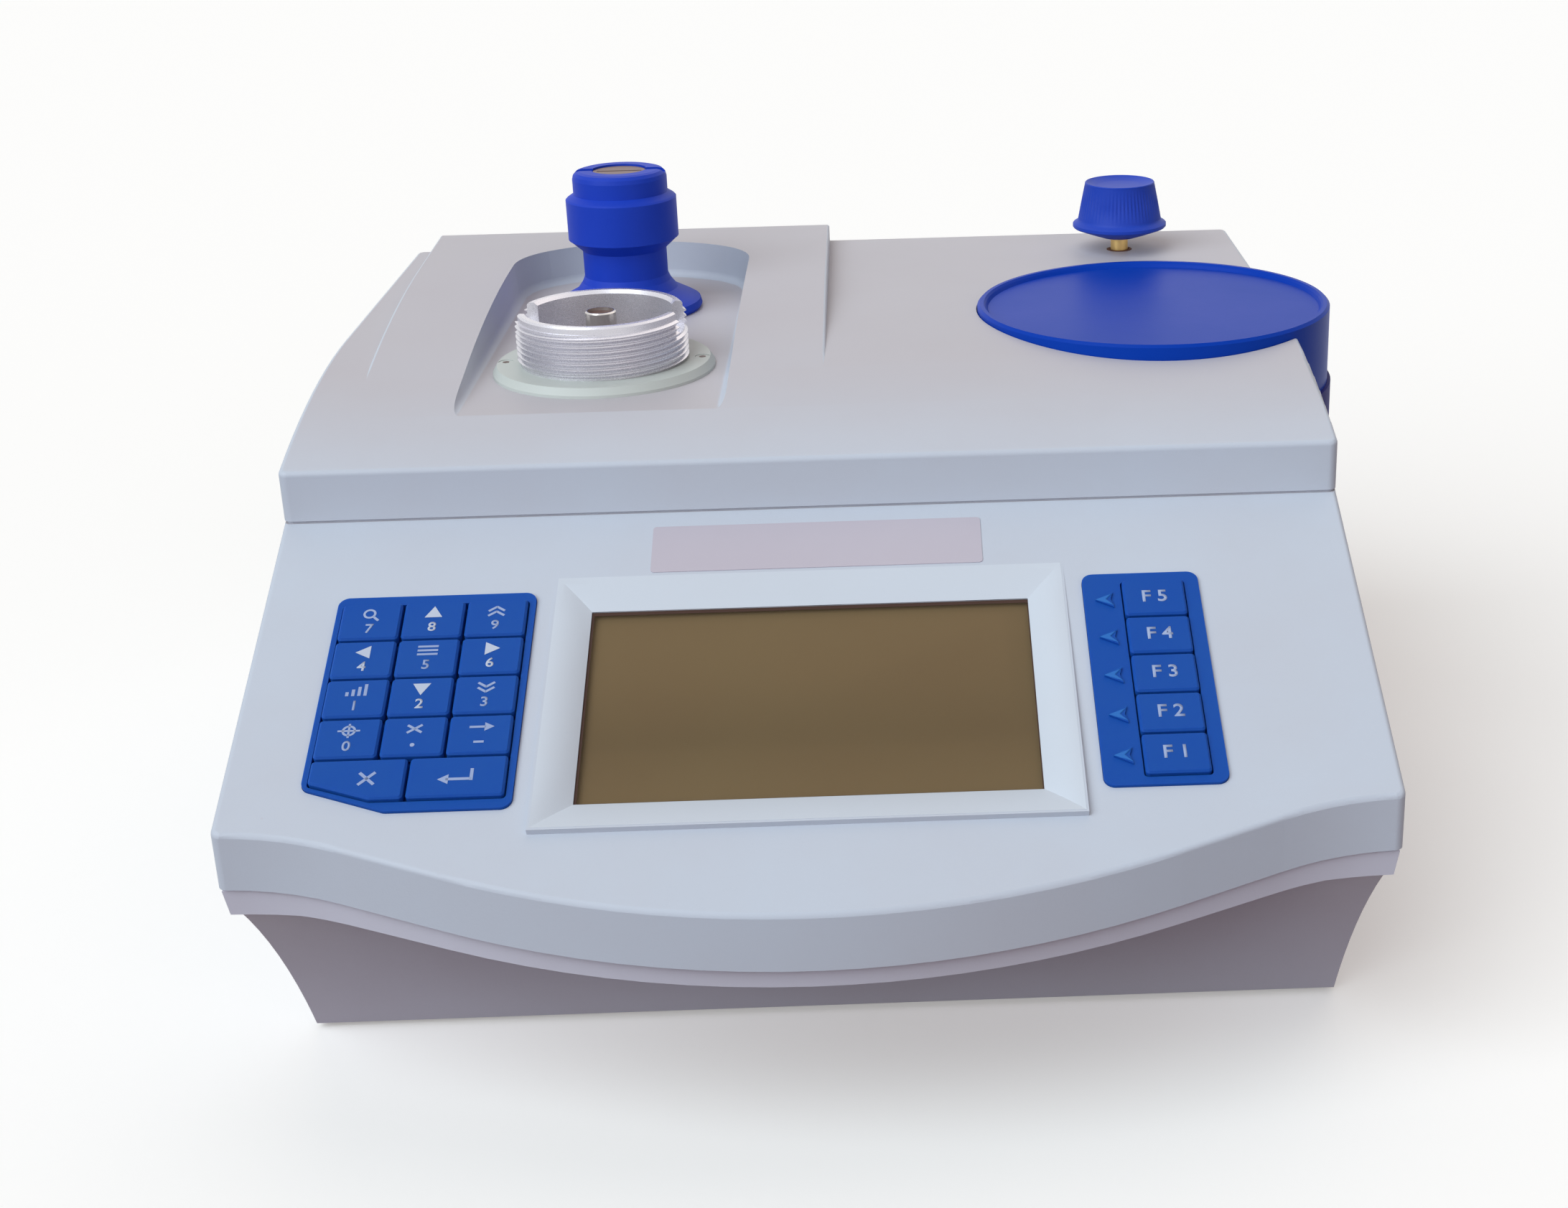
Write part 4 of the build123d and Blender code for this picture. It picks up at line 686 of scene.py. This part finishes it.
# ---------------------------------------------------------------- burette flange and collar
# The collar is a turned aluminium ring with a 2 mm thread outside and a wide slot milled across
# its rim. It stands in a pale moulded flange that two small screws hold to the bay floor.
flange_finish = moulding("flange_styrene", tint(196, 201, 196), tint(180, 180, 172), 0.4, 0.25,
                         1500, 0.00003)
dress(flange_finish, "ring_flange")
aluminium = metal("turned_aluminium", tint(214, 212, 218), 0.28, (1, 1, 6), 0.000006, 0.08,
                  metallic=0.74)
recess_shade = metal("recess_shade", tint(92, 74, 68), 0.5, metallic=0.5)
dress(flange_finish, "flange_screws")

thread_crest = 0.0300
thread_root = 0.0289
plain_radius = 0.02885
collar_bore = 0.0252
thread_pitch = 0.0020
crest_flat = 0.10
flank = 0.32
plain_foot = 0.0044
plain_lead = 0.0026
outer_edge = 0.0007
inner_edge = 0.0012
slot_half = 0.0080
slot_depth = 0.0084
slot_turn = math.radians(-4)
around = 120
start_turns = 1.3
small_steps = 32
merge_reach = 0.0000005
touch = 0.000001


def chain(shape, points):
    """Joins points, each a radius and a height, into a run of edges ready to spin."""
    verts = [shape.verts.new((radius, 0, height)) for radius, height in points]
    for first, second in zip(verts, verts[1:]):
        shape.edges.new((first, second))
    return verts


def spin_round(shape, verts, steps, rise=0.0):
    """Spins a run of edges once about Z. A rise in the turn makes a thread of it."""
    edges = list({e for v in verts for e in v.link_edges})
    bmesh.ops.spin(shape, geom=verts + edges, cent=(0, 0, 0), axis=(0, 0, 1),
                   dvec=(0, 0, rise / steps), angle=2 * math.pi, steps=steps,
                   use_merge=rise == 0)


def close_up(shape):
    """Joins the seams and turns the faces outward."""
    bmesh.ops.remove_doubles(shape, verts=shape.verts[:], dist=merge_reach)
    bmesh.ops.recalc_face_normals(shape, faces=shape.faces[:])


def settle(shape, name, place, sharp=35):
    """A closed mesh in its place, smooth but for its sharp edges."""
    close_up(shape)
    bmesh.ops.translate(shape, vec=place, verts=shape.verts[:])
    for face in shape.faces:
        face.smooth = True
    mesh = mesh_from(shape, name)
    mesh.set_sharp_from_angle(angle=math.radians(sharp))
    return mesh


def foot_of(low, high):
    """Middle of the underside of a box."""
    return Vector(((low.x + high.x) / 2, (low.y + high.y) / 2, low.z))


# Each flange screw has a painted head, with painted shade for its socket: a small dark hexagon film
# lies on the head.
socket_radius = 0.0013
socket_shade_film = 0.00006
low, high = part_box("flange_screws")
for side, near in (("left", True), ("right", False)):
    head = [v.co for v in nodes["flange_screws"].data.vertices
            if (v.co.x < (low.x + high.x) / 2) == near]
    middle_x = (min(co.x for co in head) + max(co.x for co in head)) / 2
    middle_y = (min(co.y for co in head) + max(co.y for co in head)) / 2
    socket_shade = bmesh.new()
    bmesh.ops.create_circle(socket_shade, cap_ends=True, segments=6, radius=socket_radius)
    socket_shade_mesh = film_from(socket_shade, "screw_socket_shade_" + side, socket_shade_film)
    socket_shade_mesh.transform(Matrix.Translation((middle_x, middle_y, high.z)))
    socket_shade_mesh.materials.append(recess_shade)
    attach(link_new(socket_shade_mesh, socket_shade_mesh.name), "housing")

low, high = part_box("burette_ring")
collar_height = high.z - low.z
thread_low = plain_foot
thread_high = collar_height - plain_lead
slot_floor = collar_height - slot_depth
collar = bmesh.new()
turns = math.ceil((thread_high - thread_low) / thread_pitch) + 1
wall_points = []
for turn in range(turns + 1):
    start = thread_low - start_turns * thread_pitch + turn * thread_pitch
    wall_points += [(thread_root, start), (thread_crest, start + flank * thread_pitch),
                    (thread_crest, start + (flank + crest_flat) * thread_pitch),
                    (thread_root, start + (2 * flank + crest_flat) * thread_pitch)]
spin_round(collar, chain(collar, wall_points), around, thread_pitch)
bmesh.ops.remove_doubles(collar, verts=collar.verts[:], dist=merge_reach)
for level, keep_up in ((thread_low, True), (thread_high, False)):
    bmesh.ops.bisect_plane(collar, geom=collar.verts[:] + collar.edges[:] + collar.faces[:],
                           plane_co=(0, 0, level), plane_no=(0, 0, 1),
                           clear_inner=keep_up, clear_outer=not keep_up)
core = chain(collar, [
    (plain_radius, thread_low), (plain_radius, 0), (collar_bore, 0),
    (collar_bore, collar_height - inner_edge), (collar_bore + inner_edge, collar_height),
    (plain_radius - outer_edge, collar_height), (plain_radius, collar_height - outer_edge),
    (plain_radius, thread_high)])
spin_round(collar, core, around)
for level in (thread_low, thread_high):
    rims = [e for e in collar.edges if e.is_boundary
            and all(abs(v.co.z - level) < touch for v in e.verts)]
    bmesh.ops.triangle_fill(collar, edges=rims, use_beauty=True, normal=(0, 0, 1))
for place, facing in (((0, slot_half, 0), (0, 1, 0)), ((0, -slot_half, 0), (0, 1, 0)),
                      ((0, 0, slot_floor), (0, 0, 1))):
    bmesh.ops.bisect_plane(collar, geom=collar.verts[:] + collar.edges[:] + collar.faces[:],
                           plane_co=place, plane_no=facing)
milled = [f for f in collar.faces if f.calc_center_median().z > slot_floor
          and abs(f.calc_center_median().y) < slot_half]
bmesh.ops.delete(collar, geom=milled, context="FACES")
for side in (-1, 1):
    def edges_on(test):
        return [e for e in collar.edges if len(e.link_faces) < 2
                and all(v.co.x * side > 0 and test(v.co) for v in e.verts)]
    bottom = edges_on(lambda co: abs(co.z - slot_floor) < touch)
    corners = []
    for y in (-slot_half, slot_half):
        ends = sorted({v for e in bottom for v in e.verts if abs(v.co.y - y) < touch},
                      key=lambda v: abs(v.co.x))
        corners.append(collar.edges.new((ends[0], ends[-1])))
    bmesh.ops.triangle_fill(collar, edges=bottom + corners, use_beauty=True, normal=(0, 0, 1))
    for y in (-slot_half, slot_half):
        cheek = edges_on(lambda co: abs(co.y - y) < touch)
        bmesh.ops.triangle_fill(collar, edges=cheek, use_beauty=True, normal=(0, 1, 0))
bmesh.ops.rotate(collar, matrix=Matrix.Rotation(slot_turn, 3, "Z"), verts=collar.verts[:])
collar_mesh = settle(collar, "threaded_collar", foot_of(low, high))
collar_mesh.materials.append(aluminium)
threaded_collar = link_new(collar_mesh, "threaded_collar")
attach(threaded_collar, "housing")
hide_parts("burette_ring")

# ---------------------------------------------------------------- piston drive
# The ground steel rod lifts the burette's piston and carries a dark magnet in its end. The
# carriage, bush and screw that move it are below the bay floor.
steel = metal("ground_steel", tint(206, 202, 198), 0.22, (1, 1, 8), metallic=0.85)
magnet = moulding("dark_magnet", tint(84, 60, 56), tint(120, 92, 84), 0.5, 0.4, 900, 0.00002,
                  gleam=0.1)
bronze = metal("sintered_bronze", tint(150, 112, 78), 0.42)
aged_brass = metal("aged_brass", tint(116, 96, 92), 0.5, (8, 1, 1), metallic=0.35)
dress(steel, "push_rod", "guide_rods", "lead_screw")
dress(magnet, "rod_cap", "stirrer_rotor")
dress(bronze, "rod_bush", "drive_carriage")
dress(aged_brass, "valve_coupling")

# ---------------------------------------------------------------- blue mouldings
# The valve post, beaker tray and stirrer pod are moulded in royal blue. The post is dull, and the
# tray's face has been wiped smooth.
post_blue = moulding("post_blue", tint(22, 62, 186), tint(14, 42, 150), 0.46, 0.3, 1300,
                     0.00003, gleam=0.2)
tray_blue = moulding("tray_blue", tint(2, 56, 168), tint(16, 64, 156), 0.34, 0.35, 900,
                     0.00002, gleam=0.07)
# Painted shade: the pod's blue is darker and more violet than the others', standing in for the shade
# under the tray.
shaded_pod_blue = moulding("shaded_pod_blue", tint(28, 22, 100), tint(20, 30, 120), 0.5, 0.3, 1300, 0.00003,
                    gleam=0.08)
dress(post_blue, "valve_post")
dress(tray_blue, "beaker_tray")
dress(shaded_pod_blue, "stirrer_pod")

# ---------------------------------------------------------------- speed knob
# The knob is a hollow blue moulding pushed on its spindle: a skirt flange, a finely fluted grip
# that tapers upward, and a dished top with a thin rim.
flutes = 64
flute_depth = 0.00028
grip_low = 0.0078
grip_high = 0.0214
grip_middle = 0.0155
grip_least = 0.0139
knob_sharp = 32

low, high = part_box("speed_knob")
knob_height = high.z - low.z
knob = bmesh.new()
knob_points = [
    (0.0036, 0), (0.0070, 0), (0.0122, 0.0018), (0.0184, 0.0041), (0.0189, 0.0046),
    (0.0189, 0.0057), (0.0185, 0.0061), (0.0172, 0.0068), (0.0168, 0.0074),
    (0.01675, grip_low), (grip_middle, 0.0145), (0.0141, grip_high),
    (0.0140, knob_height - 0.0003), (0.0138, knob_height), (0.0134, knob_height),
    (0.0130, knob_height - 0.0003), (0.0098, knob_height - 0.0014),
    (0.0090, knob_height - 0.0016), (0.0004, knob_height - 0.0016)]
spin_round(knob, chain(knob, knob_points), flutes * 2)
for end in (0, len(knob_points) - 1):
    radius, height = knob_points[end]
    rim = [e for e in knob.edges if e.is_boundary
           and all(abs(v.co.z - height) < touch for v in e.verts)]
    bmesh.ops.holes_fill(knob, edges=rim, sides=0)
column = math.pi / flutes
valley = [v for v in knob.verts
          if grip_low - same_level < v.co.z < grip_high + same_level
          and v.co.xy.length > grip_least
          and round(math.atan2(v.co.y, v.co.x) / column) % 2]
shrink = 1 - flute_depth / grip_middle
bmesh.ops.scale(knob, vec=(shrink, shrink, 1), verts=valley)
knob_mesh = settle(knob, "fluted_knob", foot_of(low, high), knob_sharp)
knob_blue = moulding("knob_blue", tint(34, 70, 182), tint(18, 46, 140), 0.42, 0.3, 1300, 0.00003,
                     gleam=0.2)
knob_mesh.materials.append(knob_blue)
fluted_knob = link_new(knob_mesh, "fluted_knob")
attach(fluted_knob, "speed_knob")
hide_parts("speed_knob")

# ---------------------------------------------------------------- knob shaft and drives
# The knob's spindle is turned brass. Motors, frame plate, boards and the supply's box are
# below the cover.
brass = metal("turned_brass", tint(244, 206, 130), 0.34, (1, 1, 8), metallic=0.72)
plate = metal("satin_plate", tint(178, 180, 182), 0.42)
black_enamel = moulding("black_enamel", tint(34, 34, 36), tint(52, 52, 54), 0.4, 0.3, 800,
                        0.00002)
board_green = moulding("board_green", tint(34, 92, 56), tint(24, 66, 40), 0.4, 0.5, 500,
                       0.00002)
supply_grey = moulding("supply_grey", tint(120, 122, 124), tint(100, 100, 102), 0.45, 0.3,
                       800, 0.00002)
dress(brass, "knob_shaft")
dress(plate, "drive_frame", "rear_panel")
dress(black_enamel, "drive_motor", "valve_motor", "stirrer_motor", "speed_pot")
dress(board_green, "keypad_board", "function_board", "main_board")
dress(supply_grey, "power_supply")

# A thin brown ring lies in the cover's hole round the spindle.
ring_inner = 0.0039
ring_outer = 0.0051
ring_height = 0.0008
ring_proud = 0.00015
ring_round = 0.0002
ring_wall = 0.8
hole_reach = 0.0054
rim_depth = 0.001
rim_steps = 48
low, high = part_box("knob_shaft")
spindle = foot_of(low, high).xy
hole_rim = [v.co.z for v in nodes["rear_cover"].data.vertices
            if (v.co.xy - spindle).length < hole_reach]
ring_top = min(z for z in hole_rim if z > max(hole_rim) - rim_depth) + ring_proud
ring_shape = bmesh.new()
ring_points = [
    (ring_inner, 0), (ring_outer, 0), (ring_outer, ring_height * ring_wall),
    (ring_outer - ring_round, ring_height), (ring_inner, ring_height),
    (ring_inner, 0)]
spin_round(ring_shape, chain(ring_shape, ring_points), rim_steps)
ring_mesh = settle(ring_shape, "spindle_brown_ring",
                     (spindle.x, spindle.y, ring_top - ring_height))
fibre = moulding("brown_fibre", tint(128, 88, 66), tint(92, 60, 48), 0.6, 0.5, 1500, 0.00003,
                 gleam=0.1)
ring_mesh.materials.append(fibre)
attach(link_new(ring_mesh, "spindle_brown_ring"), "housing")

# ---------------------------------------------------------------- rear sockets
# The socket plate carries a black mains inlet and switch, and nickel-plated sockets for the
# electrodes, probes and the serial lead. All of them sit in openings of the plate.
black_plastic = moulding("black_plastic", tint(26, 26, 28), tint(44, 44, 46), 0.38, 0.3, 1200,
                         0.00003)
nickel = metal("nickel_plate", tint(172, 172, 174), 0.26)
dress(black_plastic, "power_inlet", "switch_frame", "switch_rocker")
dress(nickel, "electrode_sockets", "round_sockets", "serial_port")

# Black inserts with plated pins are pressed into the round sockets and the serial socket, white
# sleeves stand round the electrode contacts, and four pan-head screws hold the plate.
face_out = Matrix.Rotation(-quarter, 4, "X")
white_sleeve = moulding("white_sleeve", tint(214, 214, 210), tint(196, 194, 188), 0.4, 0.3, 900,
                        0.00001)
insert_thickness = 0.0003
pin_radius = 0.0006
pin_height = 0.0009


def on_plate(shape, name, finish, x, y, z):
    """Places a piece drawn facing up so that it faces out of the rear plate, towards +Y."""
    mesh = mesh_from(shape, name)
    mesh.transform(Matrix.Translation((x, y, z)) @ face_out)
    mesh.materials.append(finish)
    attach(link_new(mesh, name), "housing")


def add_pins(shape, places):
    for x, z in places:
        made = bmesh.ops.create_circle(shape, cap_ends=True, segments=12, radius=pin_radius)
        bmesh.ops.translate(shape, vec=(x, z, 0), verts=made["verts"])


low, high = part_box("round_sockets")
rim_radius = (high.z - low.z) / 2
well_radius = 0.0061
well_depth = 0.0012
well_floor = high.y - well_depth
pin_ring = 0.0034
pin_angles = [step * math.pi / 4 for step in range(5)]
for side, x in (("left", low.x + rim_radius), ("right", high.x - rim_radius)):
    insert = bmesh.new()
    bmesh.ops.create_circle(insert, cap_ends=True, segments=rim_steps, radius=well_radius)
    stand_up(insert, insert_thickness)
    on_plate(insert, "round_insert_" + side, black_plastic, x, well_floor, (low.z + high.z) / 2)
    pins = bmesh.new()
    add_pins(pins, [(pin_ring * math.cos(turn), pin_ring * math.sin(turn))
                    for turn in pin_angles])
    stand_up(pins, pin_height)
    on_plate(pins, "round_pins_" + side, nickel, x, well_floor, (low.z + high.z) / 2)

low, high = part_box("electrode_sockets")
contact_half = 0.0070
sleeve_outer = 0.0026
sleeve_inner = 0.0012
sleeve_height = 0.0050
sleeve_depth = 0.0079
sleeve_foot = high.y - sleeve_depth
for side, x in (("left", low.x + contact_half), ("right", high.x - contact_half)):
    sleeve = bmesh.new()
    spin_round(sleeve, chain(sleeve, [
        (sleeve_inner, 0), (sleeve_outer, 0), (sleeve_outer, sleeve_height),
        (sleeve_inner, sleeve_height), (sleeve_inner, 0)]), small_steps)
    close_up(sleeve)
    on_plate(sleeve, "contact_sleeve_" + side, white_sleeve, x, sleeve_foot,
             (low.z + high.z) / 2)

low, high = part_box("serial_port")
port_depth = 0.0006
port_face = high.y - port_depth
port_wide = 0.0074
port_narrow = 0.0065
port_half = 0.0030
port_row = 0.0014
port_pitch = 0.00277
port_pin_height = 0.00048
middle_x, middle_z = (low.x + high.x) / 2, (low.z + high.z) / 2
insert = bmesh.new()
bmesh.ops.create_grid(insert, x_segments=1, y_segments=1, size=1)
for corner in insert.verts:
    wide = port_narrow if corner.co.y > 0 else port_wide
    corner.co = Vector((wide * corner.co.x, port_half * corner.co.y, 0))
stand_up(insert, insert_thickness)
on_plate(insert, "serial_insert", black_plastic, middle_x, port_face, middle_z)
pins = bmesh.new()
add_pins(pins, [((step - 2) * port_pitch, -port_row) for step in range(5)]
         + [((step - 1.5) * port_pitch, port_row) for step in range(4)])
stand_up(pins, port_pin_height)
on_plate(pins, "serial_pins", nickel, middle_x, port_face, middle_z)

low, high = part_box("rear_panel")
screw_inset = 0.0052
screw_radius = 0.0027
screw_height = 0.0015
screw_profile = [(0, 0), (1, 0), (1, 0.3), (0.86, 0.75), (0.5, 1), (0, 1)]
slot_width = 0.0006
slot_shade_film = 0.000075
for side, x in (("left", low.x + screw_inset), ("right", high.x - screw_inset)):
    for level, z in (("low", low.z + screw_inset), ("high", high.z - screw_inset)):
        head = bmesh.new()
        spin_round(head, chain(head, [(screw_radius * out, screw_height * up)
                                      for out, up in screw_profile]), small_steps)
        close_up(head)
        on_plate(head, "plate_screw_%s_%s" % (level, side), zinc, x, high.y, z)
        # Painted shade: a dark film across each head stands for its shaded slot.
        cross = bmesh.new()
        add_bar(cross, 0, 0, screw_radius, slot_width)
        stand_up(cross, slot_shade_film)
        on_plate(cross, "screw_slot_shade_%s_%s" % (level, side), recess_shade, x,
                 high.y + screw_height, z)
